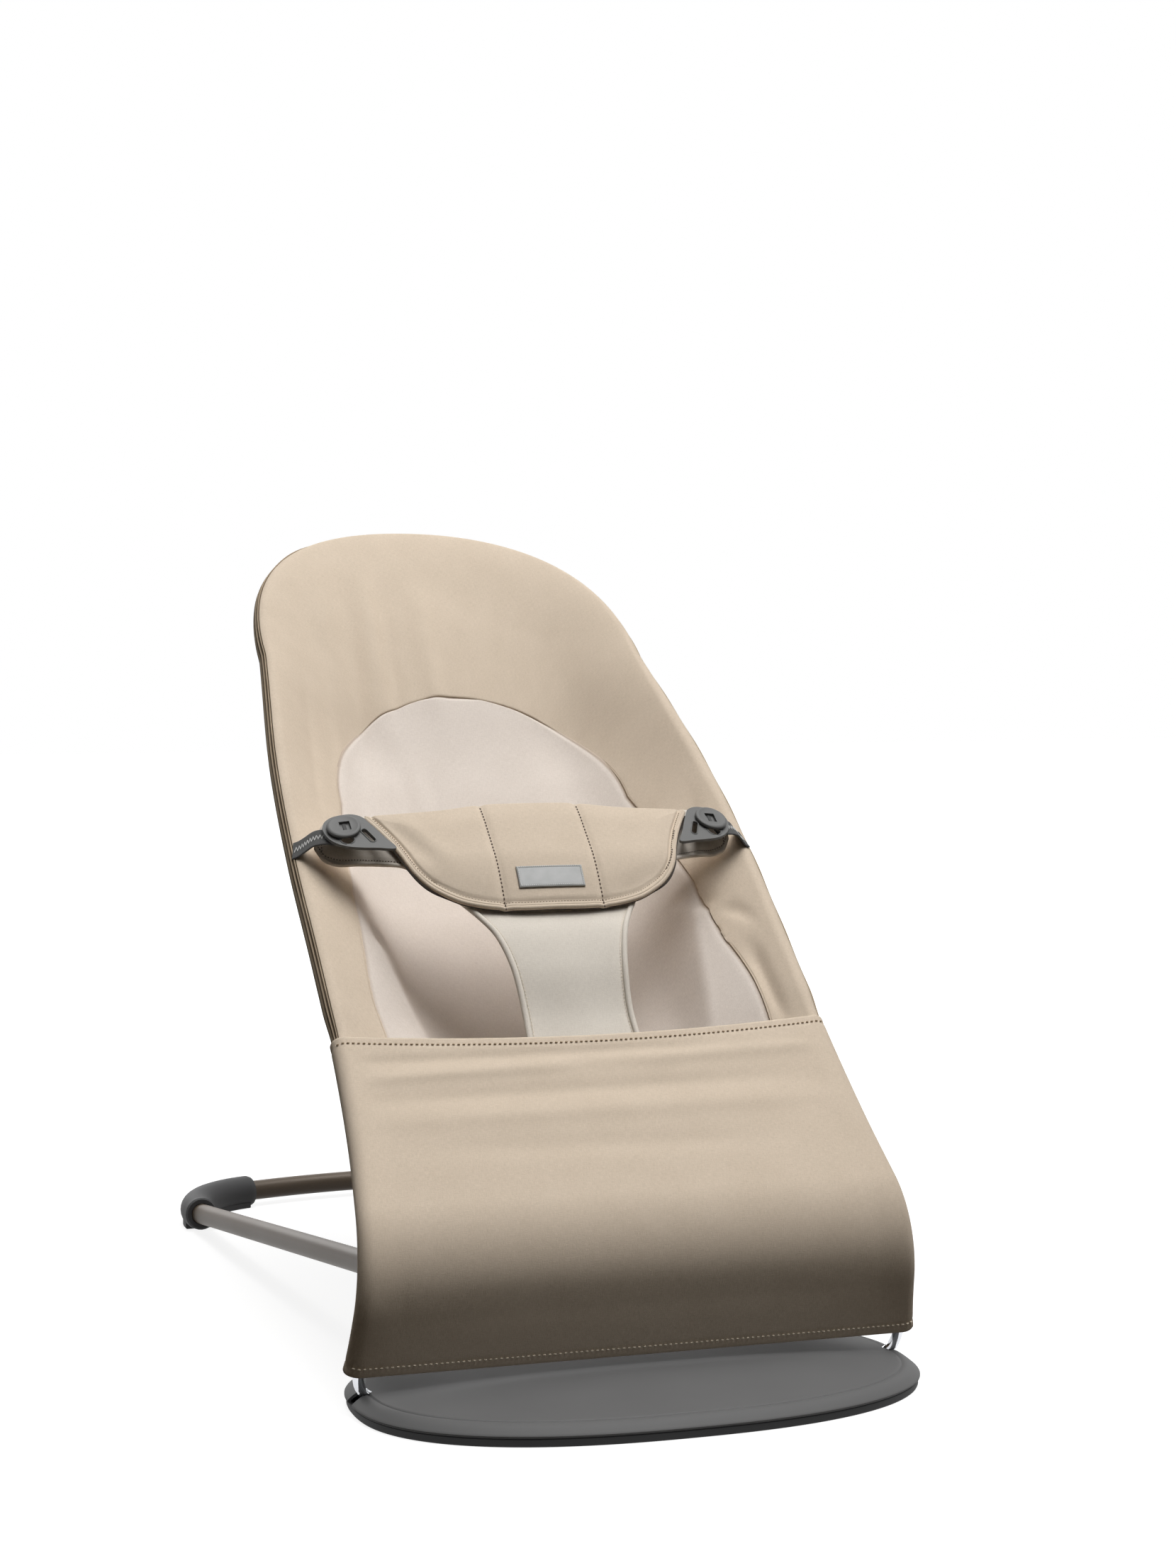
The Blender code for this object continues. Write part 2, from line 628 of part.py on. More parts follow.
def build_base():
    """The plate: a domed moulded cover on a rubber sole, with a steel carrier between them."""
    rings = [
        lifted(outline(0.0), COVER_Z),
        lifted(outline(0.0), COVER_Z + COVER_EDGE_HEIGHT),
        lifted(outline(CREASE_INSET - 0.0015), COVER_Z + CREASE_HEIGHT - 0.0006),
    ]
    for share in (1.0, 0.93, 0.8, 0.6, 0.35, 0.1):
        flat = outline(CREASE_INSET) * share
        rings.append(np.column_stack([flat, cover_top(flat[:, 0], flat[:, 1])]))
    points, faces = ring_stack(rings, caps=(False, True))
    cover = add_object("base_cover", mesh_of("base_cover", points, faces), GREY_PLASTIC)
    wall = cover.modifiers.new("wall", "SOLIDIFY")
    wall.thickness = COVER_WALL
    wall.offset = -1
    wall.use_even_offset = True
    smooth(cover, 28)
    for sign in (-1, 1):
        ends = sorted((sign * (CROSS_WIRE_HALF - 0.002), sign * (PLATE_HALF_WIDTH + 0.01)))
        low = (ends[0], AXLE_Y - WIRE_RADIUS - 0.003, COVER_Z - 0.01)
        high = (ends[1], AXLE_Y + WIRE_RADIUS + 0.003, COVER_Z + 0.03)
        cut(cover, box("wire slot", low, high, is_cutter=True))

    sole_outer, sole_inner = outline(SOLE_INSET), outline(SOLE_INSET + SOLE_RIM_WIDTH)
    rings = [
        lifted(outline(SOLE_INSET + 0.0006), 0.0),
        lifted(sole_outer, 0.0008),
        lifted(sole_outer, SOLE_RIM_HEIGHT),
        lifted(sole_inner, SOLE_RIM_HEIGHT),
        lifted(sole_inner, SOLE_FLOOR),
    ]
    sole = add_object("base_sole", mesh_of("base_sole", *ring_stack(rings)), BLACK_RUBBER)
    smooth(turn_outward(sole), 28)

    carrier_outline = outline(SOLE_INSET + SOLE_RIM_WIDTH + GAP)
    rings = [lifted(carrier_outline, CARRIER_Z), lifted(carrier_outline, CARRIER_Z + CARRIER_THICKNESS)]
    carrier = mesh_of("base_underplate", *ring_stack(rings))
    carrier = turn_outward(add_object("base_underplate", carrier, STEEL))

    head_z = CARRIER_Z - GAP - SCREW_HEAD_HEIGHT
    number = 0
    for x in (-BOSS_X, BOSS_X):
        for y in (-BOSS_Y, BOSS_Y):
            number += 1
            top = float(cover_top(x, y)) - COVER_WALL / 2
            foot = CARRIER_Z + CARRIER_THICKNESS + GAP
            boss = cylinder(f"boss {number}", BOSS_RADIUS, (x, y, foot), (x, y, top), steps=20, is_cutter=True)
            tip = head_z + SCREW_HEAD_HEIGHT + SCREW_LENGTH
            bore_radius = SCREW_RADIUS + GAP
            bore = cylinder(
                f"boss bore {number}", bore_radius, (x, y, foot - 0.002), (x, y, tip + GAP), steps=16, is_cutter=True
            )
            join(cover, boss)
            cut(cover, bore)
            pocket = cylinder(
                f"screw pocket {number}", SCREW_HEAD_RADIUS + 2 * GAP, (x, y, -0.01), (x, y, 0.01), steps=20, is_cutter=True
            )
            cut(sole, pocket)
            hole = cylinder(f"carrier hole {number}", bore_radius, (x, y, -0.01), (x, y, 0.02), steps=16, is_cutter=True)
            cut(carrier, hole)
            profile = [
                (0, 0),
                (SCREW_HEAD_RADIUS * 0.75, 0),
                (SCREW_HEAD_RADIUS, 0.0007),
                (SCREW_HEAD_RADIUS, SCREW_HEAD_HEIGHT),
                (SCREW_RADIUS, SCREW_HEAD_HEIGHT),
                (SCREW_RADIUS, SCREW_HEAD_HEIGHT + SCREW_LENGTH - 0.001),
                (0.0006, SCREW_HEAD_HEIGHT + SCREW_LENGTH),
                (0, SCREW_HEAD_HEIGHT + SCREW_LENGTH),
            ]
            turned(f"base_screw_{number}", profile, (x, y, head_z), (0, 0, 1), STEEL, steps=14)

    foot = CARRIER_Z + CARRIER_THICKNESS + GAP
    low = (SADDLE_X - SADDLE_LENGTH / 2, AXLE_Y - SADDLE_WIDTH / 2, foot)
    high = (SADDLE_X + SADDLE_LENGTH / 2, AXLE_Y + SADDLE_WIDTH / 2, foot + SADDLE_HEIGHT)
    saddle = box("wire_saddle_right", low, high, GREY_PLASTIC)
    rounding = saddle.modifiers.new("rounding", "BEVEL")
    rounding.width = 0.0015
    rounding.segments = 2
    start = (SADDLE_X - SADDLE_LENGTH, AXLE_Y, AXLE_Z)
    stop = (SADDLE_X + SADDLE_LENGTH, AXLE_Y, AXLE_Z)
    cut(saddle, cylinder("wire groove", WIRE_RADIUS + GAP + 0.0002, start, stop, steps=24, is_cutter=True))
    left_copy(saddle)


def frame_points():
    """The closed wire: across the base, up both shins, over the knees and round the head."""
    rail_x = float(half_width(RISER_START))
    top = place(rail_x, RISER_START, 0.0)
    inner = np.array([CROSS_WIRE_HALF, AXLE_Y, AXLE_Z])
    corner = np.array([rail_x, AXLE_Y, AXLE_Z])
    t = np.linspace(0, 1, 7)[:-1, None]
    right_bend = (1 - t) ** 2 * inner + 2 * t * (1 - t) * corner + t**2 * top
    left_bend = (right_bend * (-1, 1, 1))[::-1]
    return np.concatenate([right_bend, hoop(RISER_START)[::-1], left_bend])


def build_frame():
    wire = tube("spring_frame", frame_points(), WIRE_RADIUS, CHROME, cyclic=True)
    set_origin(wire, (0.0, *hub_centre()))


def hub_centre():
    y, z, heading = side_view(HUB_AT)
    return float(y + HUB_INSET * math.sin(heading)), float(z - HUB_INSET * math.cos(heading))


def leg_path():
    """Right half of the leg from the hub to the middle of the crossbar, and the indices that bound its bend."""
    hub_y, hub_z = hub_centre()
    start_x = (LEG_HUB_X[0] + LEG_HUB_X[1]) / 2
    hub, corner = np.array([start_x, hub_y, hub_z]), np.array([FOOT_X, FOOT_Y, FOOT_Z])
    along = (corner - hub) / np.linalg.norm(corner - hub)
    points = [hub + along * LEG_START, corner - along * (FOOT_OVERHANG + 0.006), corner]
    heading = math.atan2(along[1], along[0])
    final = math.pi - CROSSBAR_BOW
    centre = corner[:2] + FOOT_BEND * np.array([-math.sin(heading), math.cos(heading)])
    for turn in np.linspace(heading, final, 8)[1:]:
        flat = centre + FOOT_BEND * np.array([math.sin(turn), -math.cos(turn)])
        points.append(np.array([*flat, FOOT_Z]))
    bend_end = points[-1]
    bar_radius = bend_end[0] / math.sin(CROSSBAR_BOW)
    bar_centre = bend_end[1] - bar_radius * math.cos(CROSSBAR_BOW)
    for turn in np.linspace(CROSSBAR_BOW, 0, 6)[1:]:
        points.append(np.array([bar_radius * math.sin(turn), bar_centre + bar_radius * math.cos(turn), FOOT_Z]))
    return np.array(points), along


def build_leg():
    """The lacquered U tube and the rubber sleeves on its rear corners."""
    half, along = leg_path()
    path = np.concatenate([half, (half * (-1, 1, 1))[::-1][1:]])
    leg = tube("leg_tube", path, LEG_RADIUS, BRONZE_LACQUER, sides=4)
    set_origin(leg, (0.0, *hub_centre()))
    bend = half[2:10]
    last_way = (bend[-1] - bend[-2]) / np.linalg.norm(bend[-1] - bend[-2])
    sleeve_path = [bend[0] - along * FOOT_OVERHANG, *bend, bend[-1] + last_way * FOOT_OVERHANG / 2]
    bore_path = [bend[0] - along * 0.05, *bend, half[10], half[11]]
    foot = tube("corner_foot_right", sleeve_path, FOOT_RADIUS, GREY_RUBBER, sides=4)
    bore = tube("foot bore", bore_path, LEG_RADIUS + GAP + 0.0001, sides=4, is_cutter=True)
    floor = box("floor", (-0.4, 0.3, -0.05), (0.4, 0.9, 0.0), is_cutter=True)
    join(foot, heel_pad(bend))
    cut(foot, floor, bore)
    set_origin(foot, (0.0, *hub_centre()))
    left_copy(foot)


def heel_pad(bend):
    """A crescent pad under the bend that widens the foot on the floor."""
    ways = np.gradient(bend[:, :2], axis=0)
    ways /= np.linalg.norm(ways, axis=1)[:, None]
    out = np.stack([ways[:, 1], -ways[:, 0]], axis=-1)
    left, right = bend[:, :2] + out * FOOT_HEEL_HALF, bend[:, :2] - out * FOOT_HEEL_HALF
    ring = np.concatenate([left, right[::-1]])
    points, faces = ring_stack([lifted(ring, 0.0), lifted(ring, FOOT_HEEL_HEIGHT)])
    return turn_outward(add_object("foot heel", mesh_of("foot heel", points, faces), is_cutter=True))


def disc(name, radius, start, stop):
    """A disc across X with eased rims, centred on the hub."""
    edge = 0.0012
    thick = stop - start
    profile = [(0, 0), (radius - edge, 0), (radius, edge), (radius, thick - edge), (radius - edge, thick), (0, thick)]
    return turned(name, profile, (start, *hub_centre()), (1, 0, 0), GREY_PLASTIC, steps=36)


def cross_bore(name, radius, start, stop, steps=24):
    return cylinder(name, radius, (start, *hub_centre()), (stop, *hub_centre()), steps=steps, is_cutter=True)


def build_clamp():
    """The outer half of the hub: a disc with a lug that grips the side wire."""
    hub_y, _ = hub_centre()
    clamp = disc("hub_clamp_right", HUB_RADIUS, *HUB_CLAMP_X)
    around = np.linspace(HUB_AT - LUG_LENGTH / 2, HUB_AT + LUG_LENGTH / 2, 5)
    lug = tube("clamp lug", place(half_width(around), around, 0.0), LUG_RADIUS, sides=4, is_cutter=True)
    wire_x, wire_y, wire_z = (float(c) for c in place(half_width(HUB_AT), HUB_AT, 0.0))
    web_low = (HUB_CLAMP_X[0] + 0.002, wire_y - 0.002, wire_z - LUG_LENGTH / 2)
    web_high = (wire_x - 0.001, hub_y - PIN_HEAD_RADIUS - 0.0012, wire_z + LUG_LENGTH / 2)
    web = box("clamp web", web_low, web_high, is_cutter=True)
    near = np.linspace(HUB_AT - LUG_LENGTH * 1.5, HUB_AT + LUG_LENGTH * 1.5, 9)
    wire_bore = tube("clamp wire bore", place(half_width(near), near, 0.0), WIRE_RADIUS + 2 * GAP, is_cutter=True)
    join(clamp, lug, web)
    cut(clamp, wire_bore, cross_bore("clamp pin bore", PIN_RADIUS + GAP, 0.1, 0.2))
    return clamp


def build_ring():
    """The recline ring: a disc with coarse notches round its rim and a bore for the pin."""
    hub_y, hub_z = hub_centre()
    flat = []
    for tooth in range(RING_TEETH):
        for share, raised in ((0.0, 0), (0.35, 0), (0.5, 1), (0.85, 1)):
            turn = 2 * math.pi * (tooth + share) / RING_TEETH
            reach = RING_RADIUS + raised * RING_TOOTH
            flat.append((hub_y + reach * math.cos(turn), hub_z + reach * math.sin(turn)))
    flat = np.array(flat)
    rings = [np.column_stack([np.full(len(flat), x), flat]) for x in RING_X]
    ring = turn_outward(add_object("hub_ring_right", mesh_of("hub_ring_right", *ring_stack(rings)), GREY_PLASTIC))
    cut(ring, cross_bore("ring bore", PIN_RADIUS + GAP, 0.1, 0.2))
    return ring


def build_pin():
    """The headed pin that the hub turns on."""
    foot = LEG_HUB_X[0] + RELEASE_DEPTH + 0.001
    head = HUB_CLAMP_X[1] + GAP - foot
    profile = [(0, 0), (PIN_RADIUS - 0.0006, 0), (PIN_RADIUS, 0.0006), (PIN_RADIUS, head)]
    profile += [(PIN_HEAD_RADIUS, head), (PIN_HEAD_RADIUS, head + PIN_HEAD), (0, head + PIN_HEAD)]
    return turned("hub_pin_right", profile, (foot, *hub_centre()), (1, 0, 0), STEEL, steps=24)


def build_leg_hub():
    """The inner half of the hub: a disc with a socket for the tube and a pocket for the release button."""
    hub_y, hub_z = hub_centre()
    half, along = leg_path()
    hub = disc("leg_hub_right", HUB_RADIUS, *LEG_HUB_X)
    root = half[0] - along * (LEG_START - 0.008)
    mouth = half[0] + along * (SOCKET_LENGTH - LEG_START)
    length = float(np.linalg.norm(mouth - root))
    profile = [(0, 0), (SOCKET_RADIUS, 0), (SOCKET_RADIUS, length - 0.006)]
    profile += [(SOCKET_RADIUS - 0.0012, length), (0, length)]
    socket = turned("leg socket", profile, root, along, steps=24, is_cutter=True)
    seat = half[0] - along * 2 * GAP
    tube_bore = cylinder("leg tube bore", LEG_RADIUS + GAP + 0.0001, seat, mouth + along * 0.01, is_cutter=True)
    face = LEG_HUB_X[1] - 0.0002
    trim_high = (face + 0.05, hub_y + HUB_RADIUS + 0.004, hub_z + 0.1)
    trim = box("leg hub face", (face, hub_y - 0.1, hub_z - 0.1), trim_high, is_cutter=True)
    pocket = cross_bore("release pocket", RELEASE_RADIUS + GAP, 0.12, LEG_HUB_X[0] + RELEASE_DEPTH, 32)
    join(hub, socket)
    cut(hub, trim, tube_bore, pocket, cross_bore("leg pin bore", PIN_RADIUS + GAP, 0.13, 0.2))
    return hub


def build_release_button():
    """The button that is pressed inwards to free the recline ring."""
    outer_face = LEG_HUB_X[0] - RELEASE_PROUD
    depth = LEG_HUB_X[0] + RELEASE_DEPTH - RELEASE_TRAVEL - 0.0006 - outer_face
    profile = [(0, 0.0006), (RELEASE_RADIUS * 0.55, 0.0002), (RELEASE_RADIUS - 0.0012, 0)]
    profile += [(RELEASE_RADIUS, 0.0012), (RELEASE_RADIUS, depth), (0, depth)]
    button = turned("release_button_right", profile, (outer_face, *hub_centre()), (1, 0, 0), GREY_RUBBER)
    set_origin(button, (outer_face, *hub_centre()))
    left_copy(button)


def build_hubs():
    """On each side a clamp on the wire, a recline ring, a pin, the leg's hub and its release button."""
    for piece in (build_clamp(), build_ring(), build_pin(), build_leg_hub()):
        set_origin(piece, (0.0, *hub_centre()))
        left_copy(piece)
    build_release_button()


def sag(x, s):
    """Depth of the sling below the side wires: flat wings, a hollow between them and its main folds."""
    x, s = np.broadcast_arrays(np.asarray(x, float), np.asarray(s, float))
    share = np.clip(np.abs(x) / np.maximum(half_width(s), 0.02), 0, 1)
    table = np.array(SLING_DEPTH)
    depths = [through(s / HEAD_AT, table[:, 0], column) for column in table[:, 1:].T]
    depth = through(share, (-SLING_SHARES[1], *SLING_SHARES), np.stack([depths[1], *depths]))
    seat = ease((s - SLING_FRONT) / 0.10) * ease((0.50 - s) / 0.12)
    for side in (-1, 1):
        ridge = side * (FOLD_X - FOLD_SLANT * (SEAM_AT - s))
        depth = depth - FOLD_HEIGHT * seat * np.exp(-(((x - ridge) / FOLD_WIDTH) ** 2))
    return depth


def panel_half(s):
    """Half width of the light panel: a round arch on top, easing out towards the lap."""
    s = np.asarray(s, float)
    t = np.clip((s - ARCH_BASE) / PANEL_ARCH_HEIGHT, 0, 1)
    return knots(np.minimum(s, ARCH_BASE), PANEL_HALF) * np.sqrt(1 - t * t)


def sling_edge(s):
    """Where the cover's cloth ends: inside the sleeve above the seam, and tucked in below it."""
    s = np.asarray(s, float)
    return np.where(s >= SEAM_AT - 1e-9, half_width(s, SLING_INSET), SLING_TUCK_HALF)


def sling_rows():
    """Path distances of the sling's rows: below the seam, up to the arch, round it and over the head."""
    tuck = np.linspace(SLING_FRONT, SEAM_AT - 0.010, 4)
    body = np.linspace(SEAM_AT, ARCH_BASE, 8)
    arch = ARCH_BASE + PANEL_ARCH_HEIGHT * np.sin(np.radians((*ARCH_TURNS, 90)))
    head = head_rows(np.array([10, 20, 30, 40, 50, 60, 70, 80, 86]), SLING_INSET)
    return np.concatenate([tuck, body, arch, head])


def solidify(obj, thickness, offset):
    wall = obj.modifiers.new("cloth", "SOLIDIFY")
    wall.thickness = thickness
    wall.offset = offset
    wall.use_even_offset = True
    obj.modifiers.new("facets", "TRIANGULATE")


def build_sling():
    """The beige cover with its sleeve on the wire, and the light panel sewn into it."""
    rows = sling_rows()
    arch_count = int((rows <= PANEL_TOP + 1e-9).sum())
    wing_steps, panel_steps = 4, 8
    points, faces, index = [], [], {}

    def corner(row, column, x, s):
        """Columns run from the left edge to the right edge; both wings share the middle above the arch."""
        key = (row, column)
        if row >= arch_count - 1 and column == wing_steps + 1:
            key = (row, wing_steps)
        if key not in index:
            index[key] = len(points)
            points.append(place(x, s, sag(x, s)))
        return index[key]

    grid = []
    for row, s in enumerate(rows):
        inner = float(panel_half(s)) if row < arch_count - 1 else 0.0
        outer = float(sling_edge(s))
        xs = [-outer + (outer - inner) * k / wing_steps for k in range(wing_steps + 1)]
        xs += [inner + (outer - inner) * k / wing_steps for k in range(wing_steps + 1)]
        grid.append([corner(row, column, x, s) for column, x in enumerate(xs)])
    for low, high in zip(grid, grid[1:]):
        for column in [*range(wing_steps), *range(wing_steps + 1, 2 * wing_steps + 1)]:
            faces.append((low[column], low[column + 1], high[column + 1], high[column]))
    cover = add_object("seat_cover", mesh_of("seat_cover", points, faces), BEIGE_COTTON)
    solidify(cover, CLOTH, 0)
    sleeve = tube("wire sleeve", hoop(SEAM_AT + 0.0015), SLEEVE_RADIUS, is_cutter=True)
    bore = tube("sleeve bore", hoop(SEAM_AT - 0.02), WIRE_RADIUS + GAP + 0.0003, is_cutter=True)
    join(cover, sleeve)
    cut(cover, bore)
    smooth(cover, 60)

    turns = np.radians((*ARCH_TURNS, 88))
    straight = rows[rows < ARCH_BASE + 1e-9]
    arch_half = float(panel_half(ARCH_BASE)) - SEAM_GAP
    half = np.concatenate([panel_half(straight) - SEAM_GAP, arch_half * np.cos(turns)])
    rows = np.concatenate([straight, ARCH_BASE + (PANEL_ARCH_HEIGHT - SEAM_GAP) * np.sin(turns)])
    xs = half[:, None] * np.linspace(-1, 1, panel_steps + 1)
    s = np.broadcast_to(rows[:, None], xs.shape)
    grid = place(xs, s, sag(xs, s))
    panel = mesh_of("centre_panel", grid.reshape(-1, 3), grid_faces(*grid.shape[:2]))
    panel = add_object("centre_panel", panel, LIGHT_COTTON)
    solidify(panel, CLOTH, 0)
    smooth(panel, 60)
    for obj in (cover, panel):
        set_origin(obj, (0.0, *hub_centre()))


def build_lower_panel():
    """One cloth from the pocket seam over the knee to the hem, wrapped round the outside of both wires."""
    wrap = np.radians(np.linspace(175, 0, 6))
    front = np.linspace(-1, 1, 9)[1:-1]
    outer = SLEEVE_RADIUS
    rows = np.concatenate([(0, 0.10, 0.16), np.linspace(0.21, 0.52, 7), np.linspace(0.64, 1.0, 4)])
    grid = []
    for share in rows:
        line = []
        for side in (-1, 1):
            s = HEM_AT + share * (LOWER_TOP - HEM_AT)
            edge = []
            for turn in wrap:
                x = side * (float(half_width(s)) + outer * math.sin(turn))
                edge.append(place(x, s, -outer * math.cos(turn)))
            line.append(edge)
        middle = []
        for t in front:
            s = HEM_AT + share * (LOWER_TOP - PANEL_EDGE_DIP * (1 - t * t) - HEM_AT)
            middle.append(place(t * float(half_width(s)), s, -outer))
        grid.append(line[0] + middle + line[1][::-1])
    grid = np.array(grid)
    panel = mesh_of("lower_panel", grid.reshape(-1, 3), grid_faces(*grid.shape[:2]))
    panel = add_object("lower_panel", panel, BEIGE_COTTON)
    solidify(panel, LOWER_CLOTH, -1)
    smooth(panel, 60)
    set_origin(panel, (0.0, *hub_centre()))


def flap_front(x, s):
    """Depth of the waist flap's front face below the side wires; it is negative, towards the child."""
    tuck = FLAP_TUCK * (1 - ease((s - FLAP_BOTTOM[0][1]) / 0.050))
    return -FLAP_LIFT + FLAP_ARCH * x**2 - FLAP_LEAN * (s - 0.40) + tuck


def build_waist_flap():
    """The padded flap across the child's waist, quilted by two upright seams."""
    inner = [0.0, CHANNEL_X / 2, CHANNEL_X - CHANNEL_WIDTH, CHANNEL_X, CHANNEL_X + CHANNEL_WIDTH]
    marks = inner + [x for x, _ in FLAP_BOTTOM if x > inner[-1] + 0.004]
    x = np.array([-m for m in marks[:0:-1]] + marks)
    top, bottom = knots(np.abs(x), FLAP_TOP), knots(np.abs(x), FLAP_BOTTOM)
    v = np.linspace(0, 1, 8)[:, None]
    s = bottom + (top - bottom) * v
    xs = np.broadcast_to(x, s.shape)
    swell = np.sqrt(np.sin(np.pi * np.clip(v, 0.0, 1.0)))
    seam = 1 - np.exp(-(((np.abs(xs) - CHANNEL_X) / CHANNEL_WIDTH) ** 2))
    swell = swell * (0.25 + 0.75 * seam) * ease((FLAP_HALF - np.abs(xs)) / 0.03)
    front = flap_front(xs, s) + FLAP_ROLL * (1 - swell)
    back = front + FLAP_EDGE + FLAP_CROWN * swell
    points, faces = closed_pad(place(xs, s, front), place(xs, s, back))
    flap = turn_outward(add_object("waist_flap", mesh_of("waist_flap", points, faces), BEIGE_COTTON))
    smooth(flap, 60)
    set_origin(flap, (0.0, *hub_centre()))

    columns = np.linspace(-LABEL_HALF_WIDTH, LABEL_HALF_WIDTH, 7)
    rows = np.linspace(LABEL_LOW, LABEL_HIGH, 4)[:, None]
    xs, s = np.broadcast_arrays(columns, rows)
    back = flap_front(xs, s) - GAP
    points, faces = closed_pad(place(xs, s, back - LABEL_THICKNESS), place(xs, s, back))
    label = turn_outward(add_object("label_patch", mesh_of("label_patch", points, faces), GREY_LABEL))
    set_origin(label, (0.0, *hub_centre()))


def build_crotch_panel():
    """The strip from the flap down between the legs into the pocket, narrowest at its middle."""
    s = np.linspace(CROTCH_HALF[0][0], CROTCH_HALF[-1][0], 13)[:, None]
    share = np.linspace(-1, 1, 9)
    xs = knots(s, CROTCH_HALF) * share
    s = np.broadcast_to(s, xs.shape)
    grid = place(xs, s, knots(s, CROTCH_DEPTH) + CROTCH_THICKNESS / 2)
    strip = mesh_of("crotch_panel", grid.reshape(-1, 3), grid_faces(*grid.shape[:2]))
    strip = add_object("crotch_panel", strip, LIGHT_COTTON)
    solidify(strip, CROTCH_THICKNESS, 0)
    smooth(strip, 60)
    set_origin(strip, (0.0, *hub_centre()))


def buckle_place(x, s, lift):
    """Points on the buckle's tilted planes, lift above the side wires at the button."""
    x, s, lift = np.broadcast_arrays(np.asarray(x, float), s, lift)
    depth = -lift + BUCKLE_ROLL * (x - BUTTON_X) + BUCKLE_PITCH * (s - BUTTON_AT)
    return place(x, s, depth)


def flat_plate(name, ring, low, high, finish=None, is_cutter=False):
    """A plate on the buckle's plane with a given outline of (x, s) points, between two lifts."""
    ring = np.array(ring, float)
    rings = [buckle_place(ring[:, 0], ring[:, 1], lift) for lift in (low, high)]
    mesh = mesh_of(name, *ring_stack(rings))
    return turn_outward(add_object(name, mesh, finish, is_cutter))


def arc(centre, radius, start, stop, count):
    turn = np.radians(np.linspace(start, stop, count))
    return [(centre[0] + radius * math.cos(t), centre[1] + radius * math.sin(t)) for t in turn]


def slot_ring(start, stop, half, count=6):
    """Outline of a slot with round ends between two points."""
    way = math.degrees(math.atan2(stop[1] - start[1], stop[0] - start[0]))
    return arc(start, half, way + 90, way + 270, count) + arc(stop, half, way - 90, way + 90, count)


def build_buckle_plate():
    """The plate sewn to the flap's end, with a keyhole for the button and a slot for the stitches."""
    seat = (BUTTON_X, BUTTON_AT)
    release = (BUTTON_X, BUTTON_AT - BUTTON_TRAVEL)
    top = PLATE_LIFT + PLATE_THICKNESS
    plate = flat_plate("buckle_plate_right", PLATE_OUTLINE, PLATE_LIFT, top, GREY_PLASTIC)
    deep = (PLATE_LIFT - 0.01, top + 0.01)
    keyhole = flat_plate("keyhole", slot_ring(seat, release, BUTTON_NECK + 0.0006, 7), *deep, is_cutter=True)
    hole_ring = arc(release, BUTTON_FOOT_RADIUS + 0.0006, 0, 345, 24)
    hole = flat_plate("release hole", hole_ring, *deep, is_cutter=True)
    sewn = flat_plate("stitch slot", slot_ring(*STITCH_SLOT, STITCH_SLOT_HALF, 5), *deep, is_cutter=True)
    cut(plate, keyhole, hole, sewn)
    return plate


def buckle_axis():
    """Unit vector out of the buckle's face."""
    _, _, heading = side_view(BUTTON_AT)
    along = np.array([0.0, math.cos(heading), math.sin(heading)])
    outward = np.array([0.0, -math.sin(heading), math.cos(heading)])
    axis = outward + BUCKLE_PITCH * along + np.array([BUCKLE_ROLL, 0.0, 0.0])
    return axis / np.linalg.norm(axis)


def build_buckle_button():
    """A disc on a short neck whose foot lies behind the buckle plate; a bar bridges its window."""
    foot_top = PLATE_LIFT - GAP
    base = foot_top - BUTTON_FOOT_THICKNESS
    neck, disc_foot = foot_top - base, DISC_FOOT_LIFT - base
    top = disc_foot + BUTTON_THICKNESS
    profile = [
        (0, 0),
        (BUTTON_FOOT_RADIUS, 0),
        (BUTTON_FOOT_RADIUS, neck),
        (BUTTON_NECK, neck),
        (BUTTON_NECK, disc_foot),
        (BUTTON_RADIUS - 0.0006, disc_foot),
        (BUTTON_RADIUS, disc_foot + 0.0008),
        (BUTTON_RADIUS, top - 0.0010),
        (BUTTON_RADIUS - 0.0010, top),
        (0, top),
    ]
    centre = buckle_place(BUTTON_X, BUTTON_AT, base)
    button = turned("buckle_button_right", profile, centre, buckle_axis(), GREY_PLASTIC, steps=28)
    across, along = BUTTON_WINDOW[0] / 2, BUTTON_WINDOW[1] / 2
    for low, high in ((-across, -BUTTON_BAR / 2), (BUTTON_BAR / 2, across)):
        corners = ((low, -along), (high, -along), (high, along), (low, along))
        window = [(BUTTON_X + x, BUTTON_AT + s) for x, s in corners]
        cut(button, flat_plate("button window", window, DISC_FOOT_LIFT + 0.0008, BUTTON_LIFT + 0.004, is_cutter=True))
    return button


def build_strap():
    """The elastic that rises from the sleeve on the wire to the foot of the button."""
    start, stop = np.array(STRAP_INNER), np.array(STRAP_OUTER)
    way = (stop - start) / np.linalg.norm(stop - start)
    wide = np.array([-way[1], way[0]]) * STRAP_WIDTH / 2
    line = start + (stop - start) * np.linspace(0, 1, 12)[:, None]
    edges = np.stack([line - wide, line, line + wide], axis=1)
    lift = knots(line[:, :1], STRAP_LIFT)
    steep = np.gradient(lift[:, 0], line[:, 0])[:, None]
    thick = STRAP_THICKNESS * np.sqrt(1 + steep**2)
    back = place(edges[..., 0], edges[..., 1], -lift)
    front = place(edges[..., 0], edges[..., 1], -lift - thick)
    return turn_outward(add_object("strap_right", mesh_of("strap_right", *closed_pad(front, back)), GREY_ELASTIC))


